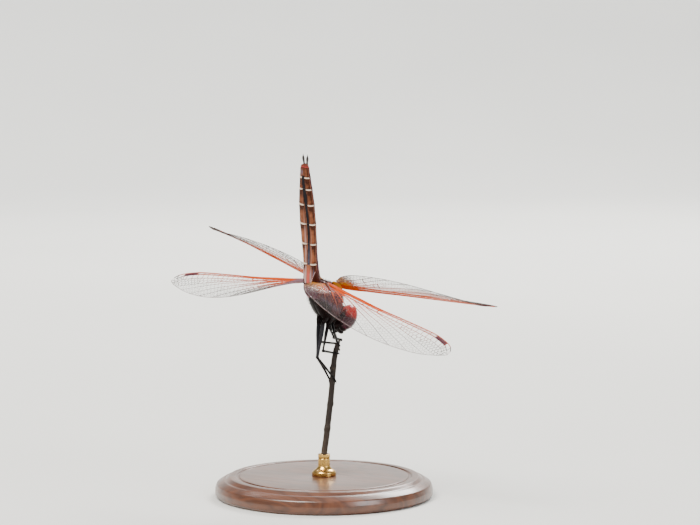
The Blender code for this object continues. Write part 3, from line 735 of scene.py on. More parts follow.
def abdomen_surface(rows=440, cols=80):
    """Flat belly and ridged back, carried along the abdomen, whose keels and plates wind a
    little round it halfway up. Each segment swells to a rolled hind rim before a narrow joint;
    keels run down the back and along the edges of the belly, the belly plate lies in a shallow
    trough, and cross keels ring segments two to four."""
    s = np.linspace(0.02, SEGMENT_ENDS[-1] - 0.02, rows)[:, None]
    angle = even_angles(cols, 0.85, 0.75, 1.2, 1.0)[None, :]
    half, depth = smooth_column(ABDOMEN, 1, s), smooth_column(ABDOMEN, 2, s)

    def sideways(turn):
        """Part of the half width: it narrows towards the back."""
        return bulge(np.cos(turn), 0.8) * (1 - 0.30 * np.sin(turn))

    sn = np.sin(angle)
    across = half * sideways(angle)
    lift = depth / 2 * np.where(sn > 0, sn, bulge(sn, 0.7))
    twist = radians(11) * bell(s - 11.5, 5.5) - radians(7) * ease(16.5, 19.0, s)
    side, sn = sideways(angle - twist), np.sin(angle - twist)
    plate = np.abs(side)
    number = np.searchsorted(SEGMENT_ENDS, s[:, 0] + 1e-9)[:, None]
    number = np.clip(number, 0, len(SEGMENT_LENGTHS) - 1)
    length = np.array(SEGMENT_LENGTHS)[number]
    start = (SEGMENT_ENDS - np.array(SEGMENT_LENGTHS))[number]
    to_rim, from_joint = start + length - s, s - start
    joint = np.minimum(to_rim, from_joint)
    swell = (0.030 * bell(to_rim - 0.13, 0.10) - 0.075 * bell(joint, 0.045)
             - 0.028 * bell(from_joint / length - 0.45, 0.35)) * (0.35 + 0.65 * ease(1.3, 2.6, s))
    cross = 0.030 * (bell(s - 1.55, 0.05) + bell(s - 3.15, 0.045) + bell(s - 3.75, 0.04)
                     + bell(s - 6.45, 0.04)) * (1 - bell(side, 0.5) * (sn < 0))
    ridge = 0.055 * bell(side, 0.10) * (sn > 0)
    edge = 0.050 * bell(plate - 1.16, 0.09) * (sn < 0)
    under = ease(-0.30, -0.62, sn)
    trough = under * (0.05 * (1 - ease(0.30, 0.40, plate)) + 0.055 * bell(plate - 0.36, 0.045))
    lines = 0.008 * under * np.sin(plate * 46.0) * bell(plate - 0.8, 0.4)
    grown = swell + cross + ridge + edge - trough + lines
    dome = np.sqrt(1 - 0.92 * ease(21.12, SEGMENT_ENDS[-1], s) ** 2)
    across = across * (1 + grown / half) * dome
    lift = lift * (1 + 2 * grown / depth) * dome
    centre, _, back = abdomen_frame(s)
    rings = centre + back * lift[..., None]
    rings[..., 0] = rings[..., 0] + across
    return rings, abdomen_marks(s, side, sn, number, to_rim, from_joint)


def abdomen_marks(s, side, sn, number, to_rim, from_joint):
    """Pattern of the abdomen, with painted light and shade, from the distance along it, the part
    of the half width and the height round it, the segment's number and the distances to its
    two ends."""
    plate = np.abs(side)
    joint = np.minimum(to_rim, from_joint)
    noise = ripple(stacked(side * 1.1, s, sn), 0.9, 2.0)
    under, tergite = ease(-0.30, -0.62, sn), ease(-0.45, -0.10, sn)
    rim = ((number >= 2) & (number <= 7)).astype(float)
    ring = rim * (1 - ease(0.17, 0.27, to_rim + 0.05 * noise)) * ease(0.24, 0.36, plate)
    next_edge = rim * (1 - ease(0.05, 0.09, from_joint)) * 0.5
    narrow = (0.04 + 0.05 * ease(12, 17, s)) * noise - 0.06 * ease(13, 18, s)
    stripe = under * (1 - ease(0.20, 0.29, plate + narrow)) * ease(5.1, 5.6, s)
    stripe = stripe * (1 - ease(19.5, 19.9, s))
    begun = ease(2.2, 2.5, s)
    base = (1 - ease(3.6, 5.2, s)) * begun
    tip = ease(20.55, 20.95, s)
    # The flank of the second and third segments: red, darkened by painted shade, with a pale line
    # at its slanting edge.
    shaded_flank_edge = 0.42 + 0.29 * (s - 2.3) + 0.04 * noise
    shaded_flank = base * ease(-0.03, 0.05, plate - shaded_flank_edge)
    root_plate = base * under * (1 - shaded_flank)
    # left: the insect's left half, where painted light brightens the pale marks
    left = side < 0
    back_shade = tergite * (0.45 * bell(to_rim - 0.1, 0.2) + 0.3 * bell(side, 0.12)
                            + 0.25 * noise) * (1 - tip)
    rim_shade = rim * (1.25 * bell(to_rim - 0.46 - 0.12 * noise, 0.36)
                       * ease(0.34, 0.62, plate + 0.1 * noise)
                       + 0.5 * bell(from_joint - 0.20, 0.16) * bell(plate - 0.9, 0.3))
    belly_shade = (rim_shade + 0.55 * rim * (1 - ease(0.3, 2.0, to_rim)) * ease(0.30, 0.55, plate)
                   + 0.95 * ease(0.84, 1.12, plate + 0.07 * noise)
                   + 0.9 * base * bell(plate - 0.82, 0.10) + 0.45 * bell(plate - 0.33, 0.04)
                   + 0.30 * ease(0.1, 0.9, noise) * ease(2.6, 4.0, s)
                   + 0.45 * ease(9.0, 17.0, s) * (1 - ring))
    # pale lines at the root, with painted light on the left plates
    root_lines_and_light = (0.5 * bell(plate - 0.35, 0.035) + 0.6 * bell(plate - 0.96, 0.04)
                  + 0.7 * left * bell(plate - 0.9, 0.25))
    # painted light: a pale band down each belly plate beside the stripe, brighter on the left
    lit_plate_band = ((0.36 - 0.15 * ease(8, 15, s)) * under * bell(plate - 0.44, 0.20)
                 * ease(0.10, 0.5, to_rim) * (1 + 0.35 * left))
    stripe_wax = (stripe * (1 - 0.88 * ease(7.0, 9.5, s)) * (0.45 + 0.4 * noise)
                  * bell(plate - 0.06, 0.16))
    late = ease(16.6, 17.6, s) * (1 - tip)
    marks = {
        "salmon": np.maximum(1 - tergite, 0.8 * tip) * (1 - stripe) * (0.9 + 0.1 * noise)
        * begun * (1 - 0.8 * shaded_flank),
        "ring": ring * np.where(sn > -0.35, 0.30, 1.0) + next_edge * under,
        "stripe": stripe,
        "shadow": back_shade + under * belly_shade + 0.8 * shaded_flank,
        "bloom": np.maximum((0.72 + 0.28 * noise) * tergite * (1 - tip) * (1 - 0.5 * base),
                            1 - begun),
        "low": 0.8 * bell(s - 2.3, 0.12) + 0.9 * late * bell(side, 0.55) * (sn > 0)
        + 0.9 * bell(joint, 0.05) * (sn > -0.4) * (1 - ring),
        "red": 0.62 * tip + 0.9 * (1 - ease(3.4, 5.8, s)) * np.maximum(
            ease(-0.75, -0.3, sn), shaded_flank),
        "pale": 0.8 * base * under * bell(plate - shaded_flank_edge, 0.035) + root_plate * root_lines_and_light
        + 0.7 * under * bell(s - 2.05, 0.14) + lit_plate_band,
        "blue": 1.6 * root_plate * (bell(plate - 0.48, 0.07) + 0.8 * bell(plate - 0.82, 0.07))
        + 0.9 * under * bell(s - 20.25, 0.40) * bell(side + 0.32, 0.26) + stripe_wax,
        "rose": root_plate * bell(plate, 0.22) + 0.55 * bell(s - 21.08 - 0.05 * noise, 0.11),
        # crease: painted shade in the narrow joints and along the belly plate's trough
        "crease": 0.9 * bell(joint, 0.035) + 0.8 * under * bell(plate - 0.36, 0.03),
    }
    soft = ("salmon", "bloom")
    return {name: value if name in soft else np.clip(value, 0, 1)
            for name, value in marks.items()}


SKIN_MARKS = ("crease", "low", "bloom", "red", "pale", "salmon", "ring", "stripe", "shadow",
              "blue", "gold", "rose")


def skin_material(colours):
    """Insect cuticle: marks choose between the named colours, blurred and speckled by grain.
    Some marks paint shade in creases and undersides, a sheen on the thorax and light on the
    abdomen.
    """
    nodes = Finish("Body cuticle")
    fine = nodes.grain(7000.0)
    blotch, speckle = fine["Blotch"], fine["Speckle"]
    waver = nodes.scaled(blotch, 0.5, -0.25)

    def chosen(name, strength=1.0, soft=0.22):
        """Mask with a narrow edge that wavers with the grain."""
        value = nodes.sums("ADD", nodes.mark(name), nodes.times(waver, soft))
        return nodes.ramp(value, 0.5 - soft, 0.5 + soft, strength)

    def veil(name, strength):
        return nodes.times(nodes.mark(name), strength)

    flesh = nodes.layers(colours.salmon,
                         (nodes.scaled(blotch, 2.2, -0.75), colours.plate_brown),
                         (nodes.times(speckle, 0.5), deeper(colours.salmon, 0.5)))
    base = nodes.layers(colours.body_dark,
                        (blotch, colours.body_brown),
                        (veil("bloom", nodes.scaled(speckle, 1.0, 0.05)), colours.bloom),
                        (chosen("salmon"), flesh),
                        (chosen("red", 0.9, 0.3), colours.red_flank),
                        # shadow: mottled patches on the thorax, painted shade on the abdomen
                        (veil("shadow", nodes.scaled(speckle, 0.9, 0.5)), colours.brown_patch_and_shade),
                        (chosen("stripe", 0.97), colours.belly_stripe),
                        (veil("rose", 0.85), colours.rose),
                        # blue: waxy blue grey on the abdomen, painted sheen of the wing film on
                        # the thorax
                        (veil("blue", 0.78), colours.blue_grey),
                        # low: dark marks and joints on the abdomen, painted shade on the thorax,
                        # neck and head
                        (chosen("low", 0.93, 0.35), colours.body_black),
                        # pale: fine pale lines, with painted light on the abdomen's belly plates
                        (chosen("pale", 0.8, 0.3), colours.pale_line),
                        (chosen("ring", 0.95), colours.cream_ring),
                        (veil("gold", 0.85), colours.amber),
                        # crease: painted shade in creases, grooves and joints
                        (veil("crease", 0.8), colours.body_black))
    rough = nodes.scaled(speckle, 0.25, nodes.scaled(nodes.mark("bloom"), 0.22, 0.28))
    return nodes.done(base, rough, fine["Height"], 0.018, Specular_IOR_Level=0.08)


def face_surface(rows=108, cols=92):
    """Rings one below the other, each half an oval whose width and reach follow the profile.
    Grooves part the brow, the two plates below it and the lip; the brow is cleft and the lip
    notched in the middle, and both are finely dimpled."""
    down = np.linspace(FACE[0][0], FACE[-1][0], rows)[:, None]
    angle = full_turn(cols)[None, :]
    half, front = smooth_column(FACE, 1, down), smooth_column(FACE, 2, down)
    s = np.sin(angle)
    x = half * bulge(np.cos(angle), 0.86)
    reach = (front - FACE_BACK) * np.where(s > 0, np.abs(s) ** 0.92, -0.35 * np.abs(s))
    brow = 1 - ease(0.28, 0.38, down)
    groove = (0.055 * bell(down - 0.41, 0.035) + 0.05 * bell(down - 1.00, 0.028)
              + 0.05 * bell(down - 1.20, 0.028)) * (s > -0.1)
    cleft = 0.085 * bell(x, 0.10) * brow + 0.045 * bell(x, 0.06) * ease(1.3, 1.6, down)
    pits = 0.006 * ripple(stacked(x, reach, down), 0.10, 5.0)
    scale = 1 - groove - cleft * (s > 0) + pits
    lip = ease(1.18, 1.26, down)
    marks = {
        "red": 0.62 * brow + 0.50 * (1 - brow),
        "bloom": 0.8 * brow * (1 - ease(-0.45, 0.0, down)),
        "pale": 0.62 * bell(down - 1.10, 0.07) + 0.25 * bell(down - 0.85, 0.10),
        "low": 0.75 * lip * np.maximum(ease(1.6, 1.8, down), bell(x, 0.16)),
        # crease: painted shade in the grooves of the face and the cleft of the brow
        "crease": np.clip((groove + 0.6 * cleft) / 0.055, 0, 1) * (s > 0),
    }
    return stacked(x * scale, FACE_BACK + reach * scale, -down), marks


def head_capsule(skin):
    """The head under its eyes: a core and a thin nape, the face, the knob between the eyes,
    jaws, cheeks and the lobes of the lower lip."""
    # The low amounts are painted shade on the nape and the underside of the head.
    skin.lobe(NAPE_AT, NAPE_HALF, rows=26, cols=56, low=0.75, bloom=0.2)
    skin.lobe((0, 6.0, -0.75), (1.36, 1.35, 1.45), rows=30, cols=48, low=0.7, bloom=0.1)
    rings, marks = face_surface()
    skin.ring_stack(to_world(rings), flip=True, **marks)
    skin.lobe((0, 6.72, 0.86), (0.36, 0.36, 0.42), lean=20, red=0.7, low=0.2)
    for side in (1, -1):
        skin.lobe((side * 1.02, 6.55, -1.28), (0.42, 0.62, 0.58), lean=-20, red=0.2, low=0.6)
        skin.lobe((side * 1.22, 5.95, -1.50), (0.62, 0.98, 0.74), rows=26, cols=40, low=0.85)
        skin.lobe((side * 0.50, 6.45, -1.98), (0.64, 0.92, 0.40), lean=-14, rows=22, cols=34,
                  power=0.9, low=0.95)
    skin.lobe((0, 5.95, -1.92), (0.52, 0.75, 0.40), low=0.9)


def coxae(skin):
    """The six hips: a short lobe and a joint ring between the belly and each thigh."""
    for spec in LEGS.values():
        hip, knee = np.array(spec["hip"]), np.array(spec["knee"])
        root = hip + np.array([0.10 * np.sign(hip[0]), -0.10, 0.95])
        lower = hip + unit(knee - hip) * 0.35
        t = np.linspace(0, 1, 14)
        swell = 0.52 - 0.20 * t + 0.05 * bell(t - 0.75, 0.1)
        # crease: painted shade in the joint between hip and thigh
        skin.tube(to_world(root + (hip - root) * t[:, None]), swell, sides=20, low=0.95,
                  crease=0.5 * bell(t - 0.88, 0.05))
        joint = hip + (lower - hip) * np.linspace(-0.6, 1, 8)[:, None]
        skin.tube(to_world(joint), 0.27 + 0.03 * np.sin(np.linspace(0, pi, 8)), sides=16, low=0.95)


def wing_roots(skin):
    """Hinge block of each wing, in the skin."""
    for kind, shares, inner, stop in (("forewing", (-0.05, 0.96), (0.90, -0.35, 2.05), 0.62),
                                      ("hindwing", (-0.02, 0.17), (0.90, -2.55, 1.05), 0.85)):
        for word, side in SIDES:
            ends = wing_place(kind, word, np.array([0.035, 0.035]), np.array(shares))
            wing_root(skin, *ends, np.array(inner) * [side, 1, 1], stop, kind == "forewing")


def wing_root(skin, front, rear, inner, stop, golden):
    """Flat ovals that grow from the wing's root section into the back, ribbed across, and three
    knobs above. It goes only the given part of the way to the wing."""
    rows, turn = 30, full_turn(40)
    way_out = (front + rear) / 2 - inner
    half = np.linalg.norm(rear - front) / 2
    t = np.linspace(0, stop, rows)[:, None]
    path = inner + way_out * t + np.array([0, 0, 0.18]) * np.sin(pi * t)
    tuck = np.sqrt(np.clip(1 - ease(stop - 0.22, stop, t) * 0.96, 0, 1))
    way, chordwise = unit(way_out), unit(rear - front)
    flat = unit(chordwise - way * (chordwise @ way))
    rise = unit(np.cross(way, flat))
    rise = rise * np.sign(rise[2])
    broad = (0.95 * (1 - t) + half * t) * tuck
    thick = (0.50 * (1 - t) + 0.075 * t) * tuck * (1 + 0.16 * bell(t - 0.40, 0.07)
                                                   - 0.22 * bell(t - 0.28, 0.06))
    ribs = 1 + 0.14 * np.cos(3 * (turn - pi / 2))
    rings = (path[:, None] + (broad * np.cos(turn))[..., None] * flat
             + (thick * ribs * np.sin(turn))[..., None] * rise)
    # crease: painted shade in the groove across the root
    skin.ring_stack(to_world(rings), flip=np.dot(np.cross(flat, rise), way) < 0,
                    red=0.42 + 0.4 * bell(t - stop, 0.12), bloom=0.5,
                    gold=ease(0.12, 0.34, t) * golden, crease=0.7 * bell(t - 0.28, 0.05))
    for at, off, size in ((0.26, 0.45, 0.26), (0.36, -0.40, 0.22), (0.52, -0.55, 0.15)):
        reach = off * broad[min(int(at * rows / stop), rows - 1), 0]
        knob = (inner + way_out * at + np.array([0, 0, 0.14]) + flat * reach
                + rise * 0.24 * (1 - at))
        skin.lobe(knob, (size, size * 1.25, size * 0.8), rows=12, cols=20,
                  red=0.7 if off < 0 else 0.3, pale=0.2, bloom=0.4)


# ---------------------------------------------------------------- eyes, antennae, claspers
def eye_surface(side, rows=64, cols=88):
    """Tall ball pressed flat where it meets the other eye, its hind edge drawn slightly in."""
    turn = np.linspace(0.02, pi - 0.02, rows)[:, None]
    around = full_turn(cols)[None, :]
    x = side * EYE_AT[0] + EYE_HALF[0] * np.sin(turn) * np.cos(around)
    z = EYE_AT[2] + EYE_HALF[2] * np.sin(turn) * np.sin(around)
    y = EYE_AT[1] - EYE_HALF[1] * np.cos(turn)
    y = y + 0.10 * bell(y - 4.5, 0.35) * bell(z - 0.2, 0.7)
    return stacked(side * np.maximum(side * x, 0.015), y, z)


def eye_material(colours):
    """Glossy eye: red above, brown below with dark speckles, a fine lattice of facets."""
    nodes = Finish("Faceted eye")
    fine = nodes.grain(5200.0, 0.2)
    height = nodes.sums("ADD", nodes.mark("height"), nodes.scaled(fine["Blotch"], 0.36, -0.18))
    spots = nodes.ramp(fine["Speckle"], 0.36, 0.62, curve="LINEAR")
    lower = nodes.layers(colours.eye_dark, (spots, colours.eye_brown))
    bright = nodes.layers(colours.eye_red,
                          (nodes.times(fine["Blotch"], 0.5), deeper(colours.eye_red, 0.55)))
    base = nodes.layers(lower, (nodes.ramp(height, 0.42, 0.62), bright),
                        (nodes.mark("rim"), colours.body_black))
    return nodes.done(base, 0.22, nodes.cells(14000.0, 0.25), 0.010, Specular_IOR_Level=0.15,
                      Coat_Weight=0.08, Coat_Roughness=0.10)


def antenna(side):
    """Two thick joints, then a bristle that bends outwards and tapers to its tip."""
    knots = np.array([(0, 0.34, 7.35, 0.60), (1, 0.40, 7.72, 0.78), (2, 0.55, 8.05, 1.02),
                      (3, 0.95, 8.5, 1.5), (4, 1.42, 8.86, 1.92)]) * [1, side, 1, 1]
    run = np.linspace(0, 4, 56)
    path = stacked(*(smooth_column(knots, k, run) for k in (1, 2, 3)))
    t = run / 4
    girth = (0.12 * bell(t - 0.05, 0.10) + 0.085 * bell(t - 0.24, 0.07) + 0.046 * (1 - t)
             + 0.016 - 0.012 * bell(t - 0.14, 0.02) - 0.012 * bell(t - 0.33, 0.02))
    shell = Shell()
    shell.tube(to_world(path), girth, sides=12)
    return shell


def clasper(side):
    """Spindle that leans out and comes to a point, with a row of small teeth below."""
    centre, along, back = (v[0] for v in abdomen_frame([SEGMENT_ENDS[-1] + GAP]))

    def course(t, lift):
        """Place at t of the length: it bows outwards and curls up towards the back."""
        out = side * (0.30 + 0.10 * np.sin(1.9 * np.clip(t, 0, 1)))
        return (centre + stacked(out, 0.0, 0.0) + along * CERCUS_LENGTH * t[:, None]
                + back * (lift + 0.10 * t * t)[:, None])

    t = np.linspace(-0.30, 1, 34)
    taper = (1 - np.clip(t, 0, 1) ** 2.2) ** 0.8
    girth = 0.19 * taper * (0.75 + 0.4 * bell(t - 0.5, 0.3))
    shell = Shell()
    shell.tube(to_world(course(t, 0.12)), np.maximum(girth, 0.012), sides=14)
    foot = course(np.linspace(0.35, 0.7, 7), 0.0)
    shell.rods(to_world(foot + back * -0.08), to_world(foot - back * 0.19 + along * 0.03), 0.035,
               0.006)
    return shell


def shell_material(name, tone, second, rough, coat=0.2):
    """Plain hard cuticle in two tones, with pits."""
    nodes = Finish(name)
    fine = nodes.grain(9000.0)
    base = nodes.layers(tone, (fine["Blotch"], second))
    return nodes.done(base, nodes.scaled(fine["Speckle"], 0.25, rough), fine["Height"], 0.008,
                      Coat_Weight=coat, Coat_Roughness=0.25)


# ---------------------------------------------------------------- wings
def wing_place(kind, word, t, share, lift=0.0):
    """Place in the insect's frame of the point at t of the length and share of the chord. The
    rearward direction turns about the span as the wing twists, so the chord leans with it."""
    spec = WINGS[kind]
    side = 1 if word == "right" else -1
    sweep, rise, pitch_root, pitch_tip = (radians(a) for a in spec[word])
    length = spec["length"]
    span = np.array([side * cos(rise) * cos(sweep), cos(rise) * sin(sweep), sin(rise)])
    ahead = unit(np.array([0, 1, 0]) - span * span[1])
    upper = np.cross(span, ahead) * side
    t = np.asarray(t, float)[..., None]
    pitch = pitch_root + (pitch_tip - pitch_root) * np.minimum(t / 0.85, 1.0)
    rearward = -np.cos(pitch) * ahead - np.sin(pitch) * upper
    normal = unit(np.cross(rearward, span)) * side
    chord = smooth_column(spec["outline"], 1, t) * length
    ahead_by = smooth_column(spec["outline"], 2, t) * length
    root = np.array([side * ROOT_OUT, *spec["hinge"]])
    front = root + span * t * length - rearward * ahead_by - upper * spec["bend"] * length * t * t
    return (front + rearward * chord * np.asarray(share, float)[..., None]
            + normal * np.asarray(lift, float)[..., None])


# stations at which every vein is laid out, and the last one that the tip's rim leaves free
FINE = np.linspace(-0.008, 1.0, 1009)
TIP_END = 0.9945


def vein_courses(kind):
    """Share of the chord of each long vein at every fine station, front to rear."""
    rows = []
    for *_, knots in VEINS[kind]:
        share = smooth_column(knots, 1, FINE)
        if rows:
            share = np.where(FINE < knots[0][0], rows[-1], share)
            share = np.maximum(share, rows[-1])
        rows.append(np.clip(share, 0, 1))
    rows[-1] = np.ones_like(FINE)
    return np.array(rows)


def ridges(kind):
    """Height of each long vein above (+) or below (-) the flat wing."""
    return np.array([ridge for _, _, ridge, _ in VEINS[kind]])


def fold_fade(t, share):
    """How much of the pleating is left: less at the root, the tip and the rear margin."""
    return ease(0.0, 0.06, t) * (1 - 0.6 * ease(0.5, 1.0, t)) * (1 - 0.75 * share)


def membrane_lift(kind, t, share):
    """Height of the pleated wing: straight between neighbouring ridges and furrows."""
    heights = ridges(kind)
    at = [np.interp(t, FINE, row) for row in vein_courses(kind)]
    lift = np.zeros_like(share)
    for k in range(len(heights) - 1):
        low, high = at[k], at[k + 1]
        inside = (share >= low) & (share <= high) & (high > low + 1e-6)
        part = np.where(inside, (share - low) / np.maximum(high - low, 1e-6), 0)
        lift = np.where(inside, heights[k] + (heights[k + 1] - heights[k]) * part, lift)
    return lift * fold_fade(t, share)


def redness(t, share):
    """Share of red in a vein: full along the front and near the root, none in the rear."""
    front = 1.35 - 1.75 * share - 0.95 * np.clip(t - 0.30, 0, 1) * (share > 0.02)
    root = 0.9 * (1 - ease(0.06, 0.18, t)) * (1 - ease(0.35, 0.6, share))
    return np.clip(front + root - 2.0 * ease(0.93, 1.0, t), 0, 1)


def strip_walls(kind, k, courses):
    """Small veins behind long vein k as pairs of ends (t, share, lift). The strip holds as many
    rows of cells as its width allows; rows are staggered like bricks and the walls between them
    zigzag, so that the cells are six-sided."""
    heights, length = ridges(kind), WINGS[kind]["length"]
    chord = smooth_column(WINGS[kind]["outline"], 1, FINE) * length
    low, high = courses[k], courses[k + 1]
    width = (high - low) * chord
    middle = (low + high) / 2
    cell = 0.74 - 0.20 * middle - 0.10 * FINE
    rows = np.clip(np.round(width / cell), 1, 14) if k > 1 else np.ones_like(width)
    ladder = k <= 2 or (k == 3 and kind == "forewing")
    step = np.where(rows == 1, 1.02 if ladder else 0.72, 1.12 * width / rows)
    live = (width > 0.13) & (FINE > 0.018)
    if k == 1:
        live &= (FINE <= STIGMA[0] - 0.004) | (FINE >= STIGMA[1] + 0.004)
        live &= width > 0.2
    run = np.cumsum(np.where(live, np.gradient(FINE) * length / step, 0.0))
    if run[-1] < 1:
        return np.zeros((2, 0, 3))
    places = np.arange(0.5, run[-1] - 0.3, 1.0)[:, None]
    at, later, after = (np.interp(places + more, run, FINE) for more in (0.0, 0.5, 1.0))
    count = np.round(np.interp(at, FINE, rows)).astype(int)
    alive = np.interp(at, FINE, live.astype(float)) > 0.5
    changed = np.diff(count, axis=0, prepend=0) != 0

    def corner(t, part):
        """Wall corner moved by a small wave that is nil on the long veins."""
        free = np.sin(pi * np.clip(part, 0, 1))
        wave = 0.10 * np.sin(61.0 * t * length / 3 + 17.0 * part + 5.0 * k)
        moved = t + free * 0.11 * np.sin(23.0 * part + 9.7 * t * length + k) / length
        part = part + free * wave / count * 0.8
        front, rear = np.interp(t, FINE, low), np.interp(t, FINE, high)
        share = front + (rear - front) * part
        lift = (heights[k] + (heights[k + 1] - heights[k]) * part) * fold_fade(t, share)
        return stacked(moved, share, lift)

    row, edge = np.arange(count.max())[None, :], np.arange(1, max(count.max(), 2))[None, :]
    real, between = (row < count) & alive, (edge < count) & alive
    even = row % 2 == 0
    middle_of_cell = np.where(even, at, later)
    pull = np.where(count > 1, 0.17, 0.0)
    top = (row + np.where(row > 0, pull, 0)) / count
    foot = (row + 1 - np.where(row < count - 1, pull, 0)) / count
    swing = np.where(edge % 2 == 1, -pull, pull)
    near, far = (edge + swing) / count, (edge - swing) / count
    walls = (
        # across each row
        (real, (middle_of_cell, top), (middle_of_cell, foot)),
        # a whole line where the number of rows changes
        (real & ~even & changed, (at, row / count), (at, (row + 1) / count)),
        # the zigzag between the rows
        (between, (at, near), (later, far)),
        (between, (later, far), (after, near)),
    )
    return (np.concatenate([corner(*first)[keep] for keep, first, _ in walls]),
            np.concatenate([corner(*last)[keep] for keep, _, last in walls]))


def cell_walls(kind):
    """Starts, ends and radii of all small veins: the walls of the cells, then the strong ones at
    the node, at the arculus and round the triangle."""
    courses, heights = vein_courses(kind), ridges(kind)
    walls = [(*strip_walls(kind, k, courses), 0.034 if k <= 3 else 0.017)
             for k in range(len(courses) - 1)]
    triangle = TRIANGLE[kind]
    for t, first, last in ((NODUS[kind], 0, 3), (0.10, 2, 8), (triangle, 7, 8),
                           (triangle + 0.035, 7, 8), (triangle - 0.05, 8, 10)):
        crossed = slice(first, last + 1)
        share = np.array([np.interp(t, FINE, row) for row in courses[crossed]])
        place = stacked(t, share, heights[crossed] * fold_fade(t, share))
        walls.append((place[:-1], place[1:], 0.05))
    starts, ends = (np.concatenate([wall[k] for wall in walls]) for k in (0, 1))
    girths = np.concatenate([np.full(len(wall[0]), wall[2]) for wall in walls])
    girths = girths + 0.026 * (1 - ease(0.06, 0.16, starts[:, 0]))
    long_enough = np.abs(starts - ends).sum(-1) > 1e-5
    return starts[long_enough], ends[long_enough], girths[long_enough]


def wing_veins(kind, word, swell):
    """The long veins as tapering tubes and the small ones as thin four-sided rods. Painted
    shade greys the root of the left hindwing."""
    shell = Shell("red", "bloom")

    # painted shade at the root of the left hindwing, in its veins
    def left_root_shade(t):
        return 0.9 * ((kind, word) == ("hindwing", "left")) * (1 - ease(0.08, 0.14, t))

    for row, (_, radius, ridge, knots) in zip(vein_courses(kind), VEINS[kind]):
        begin, end = knots[0][0], min(knots[-1][0], TIP_END)
        t = FINE[(FINE >= begin - 0.001) & (FINE <= end + 0.0005)][::6]
        share = np.interp(t, FINE, row)
        girth = swell * radius * (1 - 0.45 * ease(begin, 1.0, t))
        girth = girth * (1 + (1 - ease(0.03, 0.19, t)) * (radius > 0.06)
                         + 0.5 * (1 - ease(0.25, 0.5, t)) * (kind == "hindwing") * (share < 0.5))
        path = wing_place(kind, word, t, share, ridge * fold_fade(t, share))
        shell.tube(to_world(path), girth, sides=6, red=redness(t, share), bloom=left_root_shade(t))
    if kind == "hindwing":
        t = np.linspace(-0.005, 0.16, 30)
        girth = 0.24 * (1 - ease(0.05, 0.16, t)) + 0.02
        shell.tube(to_world(wing_place(kind, word, t, 0.16 + 1.6 * t)), girth, sides=12,
                   red=0.12 + 0.8 * ease(0.10, 0.15, t), bloom=left_root_shade(t))
    starts, ends, girth = cell_walls(kind)
    first, last = (wing_place(kind, word, np.minimum(end[:, 0], TIP_END), end[:, 1], end[:, 2])
                   for end in (starts, ends))
    t, share, _ = ((starts + ends) / 2).T
    shell.rods(to_world(first), to_world(last), girth * swell, girth * swell,
               red=redness(t, share), bloom=left_root_shade(t))
    return shell


def wing_plate(kind, word, t, share, thick, **marks):
    """Closed plate that follows the pleated wing: two grids joined round their edge."""
    lift = membrane_lift(kind, t, share)
    upper, lower = (wing_place(kind, word, t, share, lift + way * thick) for way in (1, -1))
    shell = Shell(*marks)
    marks = {name: np.concatenate([value, value[:, ::-1]], axis=1)
             for name, value in marks.items()}
    shell.ring_stack(to_world(np.concatenate([upper, lower[:, ::-1]], axis=1)),
                     flip=word == "left", **marks)
    return shell


def wing_membrane(kind, word):
    """Film: a plate a hair thick, amber at the root, red along the front, with dusky cells at
    the hindwing's root, painted shade over that root, heavier on the left, and a painted glint
    along the rear margin and the tip."""
    t = np.concatenate([np.linspace(-0.008, 0.2, 60), np.linspace(0.2, TIP_END, 190)[1:]])
    share = 0.5 - 0.5 * np.cos(np.linspace(0, pi, 46))
    t, share = np.broadcast_arrays(t[:, None], share[None, :])
    radius, low, high = (np.interp(t, FINE, vein_courses(kind)[k]) for k in (2, 8, 10))
    front = (1 - ease(0.9, 1.15, share / np.maximum(radius, 1e-3))) * (1 - ease(0.80, 0.86, t))
    uneven = 0.012 * np.sin(9 * share)
    if kind == "forewing":
        amber = 1 - ease(0.03, 0.15, t + uneven)
        amber = amber + 0.10 * (1 - amber) * (1 - ease(0.15, 0.55, t))
        wide = 0.30 + 0.30 * ease(0.35, 0.65, t)
        tint = (0.5 + 0.25 * ease(0.35, 0.65, t)) * (1 - ease(wide, wide + 0.30, share))
        tint = tint * (1 - ease(0.80, 0.90, t))
        dusk = 0 * t
    else:
        amber = 0.9 * (1 - ease(0.03, 0.17, t + 0.05 * share + uneven))
        front = front * (1 - 0.45 * ease(0.35, 0.6, t))
        tint = 0.35 * (1 - ease(0.15, 0.40, share)) * (1 - ease(0.25, 0.55, t))
        broad = np.maximum(high - low, 1e-3)
        dusk = ease(-0.1, 0.15, (share - low) / broad) * ease(-0.1, 0.15, (high - share) / broad)
        dusk = dusk * ease(0.025, 0.035, t) * (1 - ease(0.10, 0.125, t))
        # painted shade over the root, heavier on the left hindwing
        root_shade = 0.85 if word == "left" else 0.2
        dusk = np.maximum(dusk, root_shade * (1 - ease(0.04, 0.14, t)) * (1 - ease(0.7, 0.95, share)))
    # edge: painted glint, a paler, denser film along the rear margin and the tip
    edge = ease(0.965, 0.995, share) * ease(0.05, 0.15, t) + ease(0.975, 0.995, t)
    return wing_plate(kind, word, t, share, 0.010, amber=amber, front=np.maximum(front, tint),
                      dusk=dusk, edge=np.clip(edge, 0, 1))


